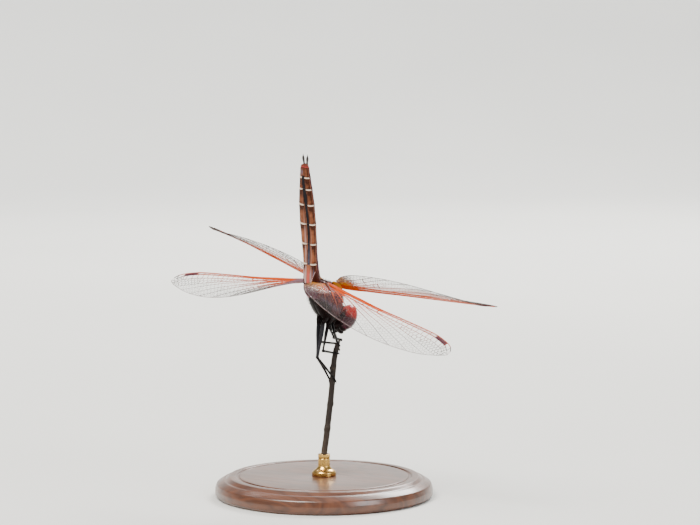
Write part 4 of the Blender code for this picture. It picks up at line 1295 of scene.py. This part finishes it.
def wing_stigma(kind, word):
    """Thick dark cell between the two front veins near the tip: a pillow on both sides."""
    courses = vein_courses(kind)
    t = np.linspace(*STIGMA, 40)[:, None]
    across = np.linspace(0, 1, 9)[None, :]
    front, rear = np.interp(t, FINE, courses[0]), np.interp(t, FINE, courses[2]) * 1.22
    t, share = np.broadcast_arrays(t, front + (rear - front) * across)
    along = (t - STIGMA[0]) / (STIGMA[1] - STIGMA[0])
    plump = 0.008 + 0.12 * np.abs(np.sin(pi * across)) ** 0.5 * np.abs(np.sin(pi * along)) ** 0.3
    end = bell(np.minimum(t - STIGMA[0], STIGMA[1] - t), 0.006)
    return wing_plate(kind, word, t, share, plump, end=end)


def vein_material(colours):
    """Satin veins, red in front and dark brown behind, with painted shade at the left hindwing's
    root.
    """
    nodes = Finish("Wing veins")
    fine = nodes.grain(6000.0, 0.3)
    rear = nodes.layers(colours.vein_rear, (fine["Blotch"], deeper(colours.vein_rear, 0.6)))
    red = nodes.layers(colours.vein_red, (fine["Speckle"], deeper(colours.vein_red, 0.7)))
    base = nodes.layers(rear, (nodes.mark("red"), red),
                        # the bloom mark is painted shade at the left hindwing's root
                        (nodes.mark("bloom"), halfway(colours.bloom, colours.membrane)))
    return nodes.done(base, 0.5, fine["Height"], 0.006, Specular_IOR_Level=0.08)


def membrane_material(colours):
    """Clear film, amber at the root, with a wrinkled gloss that throws small glints."""
    nodes = Finish("Wing membrane")
    base = nodes.layers(colours.membrane,
                        (nodes.mark("front"), colours.front_strip),
                        (nodes.mark("amber"), colours.amber),
                        # dusk: dusky cells and painted shade at the hindwing's root
                        (nodes.mark("dusk"), halfway(colours.bloom, colours.membrane)),
                        # edge: painted glint along the rear margin and the tip
                        (nodes.mark("edge"), halfway(colours.pale_line, colours.membrane)))
    alpha = nodes.scaled(nodes.noise(260.0), 0.03, colours.film_opacity - 0.015)
    for name, share in (("front", 0.52), ("amber", 0.75), ("dusk", 0.36), ("edge", 0.20)):
        alpha = nodes.scaled(nodes.mark(name), share, alpha)
    return nodes.done(base, 0.20, nodes.noise(1500.0, 3.0, 0.6), 0.03, Specular_IOR_Level=0.05,
                      Alpha=alpha)


def stigma_material(colours):
    """Dark spot, redder at its ends and in a few flecks."""
    nodes = Finish("Wing spot")
    fine = nodes.grain(9000.0, 0.4)
    base = nodes.layers(colours.spot_dark, (nodes.mark("end"), colours.spot_end),
                        (nodes.times(fine["Speckle"], 0.15), colours.spot_end))
    return nodes.done(base, 0.5, fine["Height"], 0.006, Specular_IOR_Level=0.25)


# ---------------------------------------------------------------- legs
def twig_axis(height):
    """Middle of the twig at a height: it strays from the upright along one bearing."""
    shift = smooth_column(TWIG_AXIS, 1, height)
    lean = radians(TWIG_LEAN)
    return stacked(shift * cos(lean), shift * sin(lean), height)


def twig_half(height):
    """Half width of the twig: it thickens evenly towards its foot."""
    down = (TWIG_AXIS[-1][0] - height) / (TWIG_AXIS[-1][0] - TWIG_CUT)
    return TWIG_HALF + TWIG_SWELL * down


def leg_path(spec, out):
    """Foot's points in the world, wound round the twig at a distance from its bark, and the
    directions away from the twig there."""
    (ankle_height, ankle_bearing), (claw_height, claw_bearing) = spec["grip"]
    t = np.linspace(0, 1, 40)
    height = ankle_height + (claw_height - ankle_height) * t
    bearing = np.radians(ankle_bearing + (claw_bearing - ankle_bearing) * t)
    away = stacked(np.cos(bearing), np.sin(bearing), 0.0)
    return twig_axis(height) + (twig_half(height) + out)[:, None] * away, away


def spine_row(shell, path, outward, share, length, girth, tilt=0.9):
    """Cones along a limb: each starts inside it and leans towards the foot."""
    run = np.linspace(0, 1, len(path))
    root = stacked(*(np.interp(share, run, column) for column in path.T))
    lean = unit(outward + unit(path[-1] - path[0]) * tilt)
    shell.rods(root, root + lean * length[:, None], girth, 0.008)


def leg(spec):
    """Femur: a spindle under fine spines. Tibia: a thin shaft with two rows of long spines.
    Foot: three swelling joints laid round the twig, and two hooked claws."""
    hip, knee = to_world([spec["hip"], spec["knee"]])
    thick = spec["thick"]
    foot, away = leg_path(spec, 0.13)
    ankle, end = foot[0], foot[-1]
    t = np.linspace(0, 1, 44)
    thigh = hip + (knee - hip) * (t * 1.02)[:, None]
    girth = thick * (0.58 + 0.34 * bell(t - 0.28, 0.30) - 0.08 * t) + 0.03 * bell(t - 0.97, 0.05)
    # bloom: painted highlight, grey violet along the hind thighs
    bloom = 0.85 * ease(0.02, 0.2, t) * (1 - ease(0.8, 1.0, t)) * (thick > 0.31)
    shell = Shell("bloom")
    shell.tube(thigh, girth, sides=20, bloom=bloom)
    t = np.linspace(-0.01, 1.0, 44)
    bow = unit(np.cross(ankle - knee, (0.3, 0.2, 0.93))) * 0.05
    shank = knee + (ankle - knee) * t[:, None] + bow * np.sin(pi * np.clip(t, 0, 1))[:, None]
    slim = 0.200 if thick > 0.29 else 0.225
    shell.tube(shank, slim * (1.0 - 0.22 * t) + 0.035 * bell(t, 0.05) + 0.02 * bell(t - 1, 0.04),
               sides=14)
    turn = np.linspace(0, 1, len(foot))
    inside = (turn * 3) % 1
    joints = (0.135 * (1 - 0.15 * turn) + 0.016 * bell(inside - 0.85, 0.16)
              - 0.016 * (bell(inside, 0.06) + bell(inside - 1, 0.06)))
    shell.tube(foot, joints, sides=12)
    plane = unit(np.cross(knee - hip, ankle - knee))
    inner = unit(np.cross(ankle - knee, plane))
    inner = inner * np.sign(inner @ (foot.mean(0) - shank.mean(0)) + 1e-6)
    above = unit(np.cross(plane, knee - hip))
    for side in (1, -1):
        share = np.linspace(0.12, 0.93, 11)
        spine_row(shell, shank, unit(inner * 0.55 + plane * side), share, 0.52 - 0.20 * share,
                  0.030)
        share = np.linspace(0.25, 0.95, 13)
        spine_row(shell, thigh, unit(plane * side * 0.8 - above * 0.9), share,
                  np.full(13, 0.36), 0.026, tilt=0.6)
    way = unit(end - foot[-6])
    spread = unit(np.cross(away[-1], way))
    t = np.linspace(0, 1, 16)[:, None]
    for side in (1, -1):
        hook = (end + way * 0.34 * t + spread * side * (0.05 + 0.13 * t)
                - away[-1] * (0.16 * t ** 2.2) + away[-1] * 0.05 * np.sin(pi * t))
        shell.tube(hook, 0.050 * (1 - t[:, 0]) + 0.006, sides=8)
    return shell


def leg_material(colours):
    """Black glossy cuticle with a painted grey-violet highlight along the hind thighs."""
    nodes = Finish("Leg cuticle")
    fine = nodes.grain(9000.0)
    veil = nodes.times(nodes.mark("bloom"), nodes.scaled(fine["Speckle"], 0.30, -0.04))
    base = nodes.layers(colours.leg_black, (fine["Blotch"], deeper(colours.leg_black, 1.9)),
                        (veil, colours.leg_highlight))
    return nodes.done(base, nodes.scaled(fine["Speckle"], 0.2, 0.30), fine["Height"], 0.008,
                      Specular_IOR_Level=0.10)


# ---------------------------------------------------------------- hair
def hair_roots(rings, count, keep):
    """Random places on a grid skin: point, outward direction and place on its unwrap."""
    rows, cols = rings.shape[:2]
    row = RANDOM.integers(2, rows - 2, count)
    col = RANDOM.integers(0, cols, count)
    inside = keep(rings[row, col]) > RANDOM.random(count)
    row, col = row[inside], col[inside]
    normals = outward_normals(rings, rings.mean(axis=1, keepdims=True))
    place = np.stack([(col + 0.5) / cols, row / rows], axis=-1)
    return rings[row, col], normals[row, col], place


def hair_coat(groups, length):
    """Each hair is a three-sided cone of two lengths, bent towards the tail. Its corners share
    one small patch of the unwrap round its root. A group holds the roots, their normals and
    places, the way the hairs lie, their size, and the low corner and span of the unwrap."""
    points, uvs, tones = [], [], []
    c = np.arange(3)
    after = (c + 1) % 3
    turn = full_turn(3)
    for roots, normals, place, lie, size, (low, span) in groups:
        count = len(roots)
        jitter = RANDOM.normal(0, 0.22, (count, 3))
        rise = unit(normals * 0.8 + lie * 0.55 + jitter)
        long = (length * size * RANDOM.uniform(0.55, 1.0, count))[:, None]
        middle = roots - normals * 0.03 + rise * long * 0.5
        tip = middle + unit(rise + lie * 0.5) * long * 0.5
        side = unit(np.cross(rise, normals + np.array([0.1, 0.2, 0.05])))
        other = np.cross(side, rise)
        spoke = (np.cos(turn)[None, :, None] * side[:, None]
                 + np.sin(turn)[None, :, None] * other[:, None])
        stack = np.stack([(roots - normals * 0.04)[:, None] + spoke * 0.013,
                          middle[:, None] + spoke * 0.010, tip[:, None] + spoke * 0.003], axis=1)
        points.append(to_world(stack))
        centre = np.array(low) + place * span
        spread = 0.0012 * stacked(np.cos(turn), np.sin(turn))
        rows = np.array([0.4, 0.7, 1.0])[:, None, None]
        uvs.append(centre[:, None, None] + spread * rows)
        tones.append(np.broadcast_to(RANDOM.random(count)[:, None, None], (count, 3, 3)))
    points, uvs, tones = (np.concatenate(parts) for parts in (points, uvs, tones))
    one = np.concatenate([np.stack([c, c + 3, after + 3, after], -1),
                          np.stack([c + 3, c + 6, after + 6, after + 3], -1)])
    caps = np.array([[0, 1, 2], [8, 7, 6]])
    base = np.arange(len(points))[:, None, None] * 9
    shell = Shell("tone")
    shell.add(points, (one[None] + base).reshape(-1, 4), (caps[None] + base).reshape(-1, 3),
              tone=tones)
    return shell, uvs.reshape(-1, 2)


def hair_material(colours):
    """Dull hairs from dark to pale, each flecked along its length."""
    nodes = Finish("Body hair")
    base = nodes.layers(colours.hair_dark, (nodes.mark("tone"), colours.hair_pale),
                        (nodes.times(nodes.noise(4000.0), 0.3), colours.hair_dark))
    return nodes.done(base, 0.7, Specular_IOR_Level=0.05)


# ---------------------------------------------------------------- twig and stand
def twig_surface(rows=420, cols=64):
    """Stem along its leaning axis: shallow ribs, knots with buds, dents and cracks, and a
    slanting broken end whose middle is drawn in ring by ring."""
    height = np.linspace(TWIG_CUT, TWIG_TIP, rows)[:, None]
    angle = full_turn(cols)[None, :]
    lean = radians(TWIG_LEAN)
    ribs = 0.013 * np.sin(7 * angle + 0.9 * np.sin(0.8 * height)) + 0.008 * np.sin(
        13 * angle + 1.7 * np.sin(1.1 * height + 1.0))
    knots = sum(0.06 * bell(height - at, 0.38) * (1 + 0.8 * np.cos(angle - side))
                + 0.11 * bell(height - at - 0.25, 0.22) * bell(np.sin((angle - side) / 2), 0.22)
                for at, side in TWIG_KNOTS)
    on_skin = stacked(np.cos(angle), np.sin(angle), 0.45 * height)
    rough = 0.022 * ripple(on_skin, 0.34, 1.0) + 0.012 * ripple(on_skin * [1, 1, 0.3], 0.12, 4.0)
    cracks = 0.022 * bell(np.sin(5 * angle + 0.35 * height), 0.16) * ease(
        0.1, 0.6, ripple(on_skin * [0.4, 0.4, 1], 0.8, 6.0))
    half = twig_half(height) * 0.99 + ease(
        ROD_TOP, ROD_TOP + 1, height) * (ribs + knots + rough - cracks)
    half = np.minimum(half, twig_half(height) + 0.17)
    axis = twig_axis(height[:, 0])
    z = height + TWIG_SLANT * np.cos(angle - lean) * ease(22.9, TWIG_TIP, height)
    rings = stacked(axis[:, :1] + half * np.cos(angle), axis[:, 1:2] + half * np.sin(angle), z)
    middle = rings[-1].mean(0)
    inward = np.linspace(0.94, 0.05, 12)[:, None, None]
    end = middle + (rings[-1] - middle) * inward
    end[..., 2] += 0.07 * ripple(end * [1, 1, 0.2], 0.10, 2.0) * (1 - inward[..., 0])
    broken = np.ones(end.shape[:2])
    return np.concatenate([rings, end]), {
        "bare": np.concatenate([0 * half, broken]),
        "crack": np.concatenate([np.clip(cracks / 0.022, 0, 1), 0 * broken])}


def splinters(shell):
    """Torn fibres that stand up along the high side of the broken end."""
    away = np.radians(TWIG_LEAN + np.array([-70, -45, -20, 0, 18, 40, 66]))
    long = np.array([0.16, 0.26, 0.22, 0.30, 0.20, 0.24, 0.14])
    root = twig_axis(np.full(7, 24.2)) + 0.31 * stacked(np.cos(away), np.sin(away), 0.0)
    root[:, 2] += TWIG_SLANT * np.cos(away - radians(TWIG_LEAN)) * 0.9 - 0.05
    top = root + stacked(0.03 * np.cos(away), 0.03 * np.sin(away), long)
    shell.rods(root, top, 0.065, 0.012, sides=5, bare=0.5)


def bark_material(colours):
    """Weathered bark: long fibres, paler and greyer towards the foot, dark cracks, pale break."""
    nodes = Finish("Weathered bark")
    fibre = nodes.fibres(4200.0, (1.0, 1.0, 0.10))
    fine = nodes.grain(6000.0, 0.8)
    up = nodes.add("SeparateXYZ", {0: nodes.place}).outputs["Z"]
    dark = nodes.layers(colours.bark_dark, (fibre["Shade"], colours.bark_brown))
    pale = nodes.layers(colours.bark_brown, (fibre["Shade"], colours.bark_grey))
    flakes = nodes.ramp(fine["Blotch"], 0.60, 0.70, 0.4, "LINEAR")
    base = nodes.layers(pale, (nodes.ramp(up, 0.005, 0.012, curve="LINEAR"), dark),
                        (flakes, colours.bark_grey),
                        (nodes.mark("bare"), colours.bark_grey),
                        (nodes.times(nodes.mark("crack"), 0.85), colours.bark_dark))
    height = nodes.sums("ADD", fibre["Height"], nodes.times(fine["Height"], 0.4))
    return nodes.done(base, 0.86, height, 0.045)


def turned(profile, cols):
    """Profile of (radius, height) points turned about the upright axis, closed on it."""
    angle = full_turn(cols)[None, :]
    radius, height = profile[::-1, :1], profile[::-1, 1:]
    shell = Shell()
    shell.ring_stack(stacked(radius * np.cos(angle), radius * np.sin(angle), height))
    return shell


def rounded(radius, *points, steps=6):
    """Polyline whose inner corners are cut by short quadratic arcs."""
    points = np.array(points, float)
    corner = points[1:-1]
    start, stop = (
        corner + unit(toward - corner) * np.minimum(
            radius, 0.45 * np.linalg.norm(toward - corner, axis=1))[:, None]
        for toward in (points[:-2], points[2:]))
    t = np.linspace(0, 1, steps)[:, None]
    arcs = ((1 - t) ** 2 * start[:, None] + 2 * t * (1 - t) * corner[:, None]
            + t * t * stop[:, None])
    return np.concatenate([points[:1], arcs.reshape(-1, 2), points[-1:]])


def base_profile():
    """Inside of the hole, flat top, a cut ring, a stepped and rounded edge, and the foot."""
    hole, top, half = ROD_HALF + GAP, BASE_HEIGHT, BASE_HALF
    return rounded(
        0.16, (0.4, 1.48), (hole, 1.48), (hole, top), (13.15, top), (13.25, top - 0.22),
        (13.65, top - 0.22), (13.75, top), (half - 2.2, top), (half - 1.6, top - 0.5),
        (half - 1.25, top - 0.5), (half - 0.25, top - 1.1), (half, top - 1.9), (half, 0.45),
        (half - 0.4, 0.0), (8.0, 0.0), (0.5, 0.0))


def socket_profile():
    """Bore for the twig, rim, plain shank with two cut lines, collar, and the end in the base."""
    lift, half = BASE_HEIGHT + 0.02, ROD_HALF
    return rounded(
        0.10, (0.2, 4.6), (0.62, 4.6), (0.62, ROD_TOP), (half, ROD_TOP), (half, 6.05),
        (half - 0.07, 5.98), (half - 0.07, 5.90), (half, 5.83), (half, 4.7), (1.25, 4.28),
        (1.62, 4.06), (COLLAR_HALF, 3.78), (COLLAR_HALF, lift), (half, lift), (half, 1.62),
        (0.2, 1.62))


def wood_material(colours):
    """Dark turned wood under satin varnish, its grain running across the base."""
    nodes = Finish("Turned wood")
    fibre = nodes.fibres(700.0, (0.07, 1.0, 1.0))
    figure = nodes.noise(160.0, 3.0, distortion=1.2, at=nodes.stretched((0.25, 1.0, 1.0)))
    bands = nodes.sums("SUBTRACT", nodes.sums("FRACT", nodes.times(figure, 7.0)), 0.5)
    soft = nodes.times(nodes.sums("ABSOLUTE", bands), 1.1)
    shade = nodes.sums("ADD", soft, nodes.times(fibre["Shade"], 0.6))
    base = nodes.layers(colours.wood_dark, (shade, colours.wood_warm))
    return nodes.done(base, nodes.scaled(fibre["Shade"], 0.18, 0.26), fibre["Height"], 0.03,
                      Coat_Weight=0.35, Coat_Roughness=0.18)


def brass_material(colours):
    """Turned brass: fine rings, a little tarnish."""
    nodes = Finish("Turned brass")
    fine = nodes.grain(2500.0, 0.2)
    base = nodes.layers(colours.brass,
                        (nodes.times(fine["Blotch"], 0.6), deeper(colours.brass, 0.55)))
    lines = nodes.noise(14000.0, at=nodes.stretched((0.02, 0.02, 1.0)))
    return nodes.done(base, nodes.scaled(fine["Speckle"], 0.22, 0.14), lines, 0.006, Metallic=1.0)


# ---------------------------------------------------------------- stage
def studio_floor():
    """Round floor whose edge sweeps up in an S-curve into the backdrop."""
    rows, cols = 110, 96
    radius = np.linspace(0.5, 2900.0, rows)[:, None]
    angle = full_turn(cols)[None, :]
    height = 900.0 * ease(750.0, 2200.0, radius) + 1500.0 * ease(1900.0, 2900.0, radius)
    rings = stacked(radius * np.cos(angle), radius * np.sin(angle), height - FLOOR_DROP)
    c = np.arange(cols)
    fan = np.stack([np.full(cols, rows * cols), (c + 1) % cols, c], axis=-1)
    shell = Shell()
    shell.add(np.concatenate([rings.reshape(-1, 3), [[0, 0, -FLOOR_DROP]]]),
              grid_quads(rows, cols)[:, ::-1], fan)
    nodes = Finish("Studio paper")
    paper = nodes.layers((0.60, 0.60, 0.57), (nodes.noise(9.0), (0.66, 0.66, 0.63)))
    floor, _ = shell.draft("studio_floor", nodes.done(paper, 0.9))


def soft_light(name, place, size, watts, tone, target):
    """Square lamp that faces the target."""
    lamp = bpy.data.lights.new(name, "AREA")
    lamp.shape = "SQUARE"
    lamp.size = size
    lamp.energy = watts
    lamp.color = tone
    made = bpy.data.objects.new(name, lamp)
    made.location = place
    made.rotation_euler = (Vector(target) - Vector(place)).to_track_quat("-Z", "Y").to_euler()
    bpy.context.scene.collection.objects.link(made)


# ---------------------------------------------------------------- settings
def shown(red, green, blue):
    """Linear colour of a display colour given in 0 to 255."""
    level = np.array([red, green, blue]) / 255
    return tuple(np.where(level <= 0.04045, level / 12.92, ((level + 0.055) / 1.055) ** 2.4))


def colour_property(label, description, *display):
    return bpy.props.FloatVectorProperty(name=label, description=description, subtype="COLOR",
                                         size=3, min=0, max=1, default=shown(*display))


class DragonflySizes(bpy.types.PropertyGroup):
    """Sizes of the small forms that the solids leave out."""

    vein_swell: bpy.props.FloatProperty(
        name="Vein thickness", description="Factor on the radius of every wing vein",
        default=1.0, min=0.3, max=2.0, subtype="FACTOR")
    hair_length: bpy.props.FloatProperty(
        name="Hair length", description="Longest hairs of the thorax", default=0.00048,
        min=0.0, max=0.0015, unit="LENGTH")
    hair_count: bpy.props.IntProperty(
        name="Hairs", description="Hairs tried on the thorax", default=5200, min=0, max=9000)
    key_power: bpy.props.FloatProperty(
        name="Main lamp", description="Power of the largest lamp", default=12.0, min=0.0,
        max=100.0, unit="POWER")


class DragonflyColours(bpy.types.PropertyGroup):
    """Colours of the insect, its twig and its stand."""

    body_dark: colour_property("Body dark", "Darker tone of the thorax", 32, 14, 16)
    body_brown: colour_property("Body brown", "Lighter tone of the thorax", 72, 30, 30)
    # Body black also paints the shade of the undersides and the creases.
    body_black: colour_property("Body black", "Underside, seams and marks", 7, 5, 5)
    # Violet bloom, mixed with the film's colour, also paints the shade at the hindwings' roots.
    bloom: colour_property("Violet bloom", "Waxy bloom on the back", 88, 38, 58)
    red_flank: colour_property("Red flank", "Base and tip of the abdomen, wing roots", 96, 24, 20)
    salmon: colour_property("Salmon plates", "Plates beside the belly", 155, 94, 66)
    plate_brown: colour_property("Plate brown", "Browner parts of those plates", 97, 51, 24)
    # Mottled patches on the thorax, painted shade on the abdomen.
    brown_patch_and_shade: colour_property("Brown patch", "Shade before each pale ring", 50, 20, 8)
    cream_ring: colour_property("Cream ring", "Rings at the segments' ends", 216, 192, 172)
    belly_stripe: colour_property("Belly stripe", "Stripe along the belly", 8, 7, 9)
    # Blue grey also paints the wing film's sheen on the thorax.
    blue_grey: colour_property("Blue grey", "Waxy tone on the belly stripe", 94, 92, 112)
    rose: colour_property("Rose", "Middle of the third segment's belly", 186, 72, 72)
    # Pale line also paints light on the belly plates and, with the film, the glint at the wings'
    # margin.
    pale_line: colour_property("Pale line", "Fine pale lines", 214, 178, 174)
    eye_red: colour_property("Eye red", "Upper part of the eyes", 150, 16, 14)
    eye_brown: colour_property("Eye brown", "Lower part of the eyes", 70, 34, 44)
    eye_dark: colour_property("Eye dark", "Speckles of the eyes", 22, 11, 16)
    vein_red: colour_property("Red veins", "Veins in front and near the root", 200, 74, 10)
    front_strip: colour_property("Front strip", "Film along the leading edge", 206, 84, 12)
    vein_rear: colour_property("Rear veins", "Veins towards the rear margin", 54, 38, 30)
    membrane: colour_property("Membrane", "Film of the wings", 118, 106, 112)
    amber: colour_property("Amber", "Film at the wing roots", 186, 118, 8)
    spot_dark: colour_property("Wing spot", "Thick cell near each tip", 62, 20, 32)
    spot_end: colour_property("Wing spot's ends", "Red brown of its ends", 112, 36, 34)
    leg_black: colour_property("Leg black", "Legs and feelers", 8, 7, 8)
    # Leg bloom is a painted highlight on the hind thighs.
    leg_highlight: colour_property("Leg highlight", "Grey violet on the thighs", 92, 92, 104)
    hair_dark: colour_property("Dark hair", "Darkest hairs", 20, 15, 14)
    hair_pale: colour_property("Pale hair", "Palest hairs", 62, 38, 34)
    bark_dark: colour_property("Bark dark", "Upper twig and cracks", 13, 9, 6)
    bark_brown: colour_property("Bark brown", "Middle tone of the twig", 42, 29, 19)
    bark_grey: colour_property("Bark grey", "Lower twig and broken end", 82, 66, 50)
    wood_dark: colour_property("Wood dark", "Dark grain of the base", 46, 26, 18)
    wood_warm: colour_property("Wood warm", "Warm grain of the base", 98, 56, 34)
    brass: colour_property("Brass", "Socket", 206, 164, 92)
    film_opacity: bpy.props.FloatProperty(
        name="Film opacity", description="How far the clear film hides what is behind it",
        default=0.022, min=0.02, max=1.0, subtype="FACTOR")


def sizes():
    return bpy.context.scene.dragonfly_sizes


def colours():
    return bpy.context.scene.dragonfly_colours


# ---------------------------------------------------------------- operators
class DRAGONFLY_OT_skin(bpy.types.Operator):
    """Make the one skin of head, neck, thorax and abdomen"""

    bl_idname = "dragonfly.skin"
    bl_label = "Body skin"

    def execute(self, context):
        skin = Shell(*SKIN_MARKS)
        for (rings, marks), flip in ((thorax_surface(), True), (neck_surface(), True),
                                     (abdomen_surface(), False)):
            skin.ring_stack(to_world(rings), flip=flip, **marks)
        head_capsule(skin)
        coxae(skin)
        wing_roots(skin)
        skin.build("body_skin", skin_material(colours()), "thorax",
                   replaces=["thorax", "neck", "head"] + ABDOMEN_NODES)
        return {"FINISHED"}


class DRAGONFLY_OT_eyes(bpy.types.Operator):
    """Make the two faceted eyes, the three simple eyes and the feelers"""

    bl_idname = "dragonfly.eyes"
    bl_label = "Eyes and feelers"

    def execute(self, context):
        finish = eye_material(colours())
        for word, side in SIDES:
            rings = eye_surface(side)
            height = (rings[..., 2] - EYE_AT[2]) / (2 * EYE_HALF[2]) + 0.5
            shell = Shell("height", "rim")
            shell.ring_stack(to_world(rings), flip=True, height=height,
                             rim=1 - ease(*EYE_RIM, rings[..., 1]))
            shell.build("eye_%s_lens" % word, finish, "eye", replaces=["eye_" + word])
        simple = Shell()
        for centre, size in SIMPLE_EYES:
            simple.lobe(centre, (size,) * 3, rows=12, cols=20)
        simple.build("simple_eyes", shell_material(
            "Simple eye", shown(150, 84, 40), shown(96, 40, 22), 0.08, coat=0.8), "eye")
        dark = shell_material("Feeler cuticle", colours().leg_black, colours().body_dark, 0.3)
        for word, side in SIDES:
            antenna(side).build("feeler_" + word, dark, "leg", replaces=["antenna_" + word])
        return {"FINISHED"}


class DRAGONFLY_OT_claspers(bpy.types.Operator):
    """Make the two claspers at the abdomen's tip"""

    bl_idname = "dragonfly.claspers"
    bl_label = "Claspers"

    def execute(self, context):
        finish = shell_material("Clasper cuticle", colours().body_black, colours().body_dark, 0.28)
        for word, side in SIDES:
            clasper(side).build("clasper_" + word, finish, "cercus", replaces=["cercus_" + word])
        return {"FINISHED"}


class DRAGONFLY_OT_wings(bpy.types.Operator):
    """Make the veins, film and dark spot of the four wings"""

    bl_idname = "dragonfly.wings"
    bl_label = "Wings"

    def execute(self, context):
        veins, film, spot = (vein_material(colours()), membrane_material(colours()),
                             stigma_material(colours()))
        for kind in WINGS:
            for word, _ in SIDES:
                name = "%s_%s" % (kind, word)
                wing_membrane(kind, word).build(name + "_film", film, "wing", replaces=[name])
                wing_veins(kind, word, sizes().vein_swell).build(name + "_veins", veins, "wing")
                wing_stigma(kind, word).build(name + "_spot", spot, "wing")
        return {"FINISHED"}


class DRAGONFLY_OT_legs(bpy.types.Operator):
    """Make the six legs with their spines and claws"""

    bl_idname = "dragonfly.legs"
    bl_label = "Legs"

    def execute(self, context):
        finish = leg_material(colours())
        for name, spec in LEGS.items():
            leg(spec).build("leg_%s_limb" % name, finish, "leg",
                            replaces=["leg_%s_thigh" % name, "leg_%s_shank" % name])
        return {"FINISHED"}


class DRAGONFLY_OT_hair(bpy.types.Operator):
    """Cover the thorax and the abdomen's base with fine hairs"""

    bl_idname = "dragonfly.hair"
    bl_label = "Hair"

    def execute(self, context):
        thorax, _ = thorax_surface()
        abdomen, _ = abdomen_surface()
        back = np.array([0.0, -1.0, 0.15])
        low = np.array([0.0, -0.6, -0.8])
        count = sizes().hair_count
        groups = []
        roots, normals, place = hair_roots(
            thorax, count, lambda p: 0.12 + 0.88 * ease(-1.8, 0.6, p[:, 2]))
        lie = np.where(roots[:, 2:] > -0.8, back, low)
        groups.append((roots, normals, place, lie, 1.0, ((0.02, 0.02), (0.6, 0.96))))
        roots, normals, place = hair_roots(
            abdomen, count // 5, lambda p: 1 - ease(-5.0, -3.6, -p[:, 1]))
        near = roots[:, 1] > -6.0
        _, along, _ = abdomen_frame(np.full(int(near.sum()), 3.0))
        groups.append((roots[near], normals[near], place[near], along, 0.6,
                       ((0.64, 0.02), (0.34, 0.6))))
        roots, normals, place = hair_roots(face_surface()[0], count // 12,
                                           lambda p: ease(7.0, 7.4, p[:, 1]))
        groups.append((roots, normals, place, low, 0.42, ((0.64, 0.66), (0.34, 0.3))))
        shell, patches = hair_coat(groups, sizes().hair_length / MM)
        shell.build("body_hair", hair_material(colours()), "thorax", bake_uv=patches)
        return {"FINISHED"}


class DRAGONFLY_OT_twig(bpy.types.Operator):
    """Make the dry twig with its broken tip"""

    bl_idname = "dragonfly.twig"
    bl_label = "Twig"

    def execute(self, context):
        shell = Shell("bare", "crack")
        rings, marks = twig_surface()
        shell.ring_stack(rings, **marks)
        splinters(shell)
        shell.build("twig_bark", bark_material(colours()), "twig", replaces=["twig"])
        return {"FINISHED"}


class DRAGONFLY_OT_stand(bpy.types.Operator):
    """Make the turned base and the brass socket"""

    bl_idname = "dragonfly.stand"
    bl_label = "Stand"

    def execute(self, context):
        turned(base_profile(), 224).build(
            "stand_base_turned", wood_material(colours()), "base", replaces=["stand_base"])
        turned(socket_profile(), 96).build(
            "stand_socket_turned", brass_material(colours()), "brass", replaces=["stand_rod"])
        return {"FINISHED"}


class DRAGONFLY_OT_stage(bpy.types.Operator):
    """Set up the pale floor, the soft lamps and the camera"""

    bl_idname = "dragonfly.stage"
    bl_label = "Stage"

    def execute(self, context):
        studio_floor()
        target = np.array(BODY_AT) * MM
        level = np.array([*LOOK_LEVEL, 0.0])
        right = np.array([level[1], -level[0], 0.0])
        for name, (across, height, away), size, share, tone, aim in LAMPS:
            place = target + right * across + np.array([0, 0, height]) + level * away
            soft_light(name, place, size, sizes().key_power * share, tone, target + level * aim)
        world = bpy.data.worlds.new("Studio air")
        world.use_nodes = True
        air = world.node_tree.nodes["Background"].inputs
        air["Color"].default_value = (0.95, 0.97, 1.0, 1.0)
        air["Strength"].default_value = 0.42
        context.scene.world = world
        look = level * cos(radians(LOOK_DOWN)) - np.array([0, 0, sin(radians(LOOK_DOWN))])
        up = np.cross(right, look)
        lens = bpy.data.cameras.new("view_camera")
        lens.lens, lens.sensor_width = CAMERA_LENS, 36.0
        lens.clip_start, lens.clip_end = 0.01, 10.0
        camera = bpy.data.objects.new("view_camera", lens)
        camera.location = target - look * CAMERA_AWAY
        aim = unit(look + right * AIM_RIGHT + up * AIM_UP)
        camera.rotation_euler = Vector(aim).to_track_quat("-Z", "Y").to_euler()
        context.scene.collection.objects.link(camera)
        context.scene.camera = camera
        return {"FINISHED"}


OPERATORS = (DRAGONFLY_OT_skin, DRAGONFLY_OT_eyes, DRAGONFLY_OT_claspers, DRAGONFLY_OT_wings,
             DRAGONFLY_OT_legs, DRAGONFLY_OT_hair, DRAGONFLY_OT_twig, DRAGONFLY_OT_stand,
             DRAGONFLY_OT_stage)


class DRAGONFLY_PT_panel(bpy.types.Panel):
    """Sizes, colours and the steps that make the dragonfly"""

    bl_label = "Dragonfly"
    bl_idname = "DRAGONFLY_PT_panel"
    bl_space_type = "VIEW_3D"
    bl_region_type = "UI"
    bl_category = "Dragonfly"

    def draw(self, context):
        layout = self.layout
        for group in (context.scene.dragonfly_sizes, context.scene.dragonfly_colours):
            column = layout.column(align=True)
            for name in group.__annotations__:
                column.prop(group, name)
        column = layout.column(align=True)
        for operator in OPERATORS:
            column.operator(operator.bl_idname)


CLASSES = (DragonflySizes, DragonflyColours) + OPERATORS + (DRAGONFLY_PT_panel,)


def register():
    for each in CLASSES:
        bpy.utils.register_class(each)
    bpy.types.Scene.dragonfly_sizes = bpy.props.PointerProperty(type=DragonflySizes)
    bpy.types.Scene.dragonfly_colours = bpy.props.PointerProperty(type=DragonflyColours)


def unregister():
    del bpy.types.Scene.dragonfly_colours
    del bpy.types.Scene.dragonfly_sizes
    for each in reversed(CLASSES):
        bpy.utils.unregister_class(each)


def main():
    register()
    for operator in OPERATORS:
        group, name = operator.bl_idname.split(".")
        getattr(getattr(bpy.ops, group), name)()


if __name__ == "__main__":
    main()
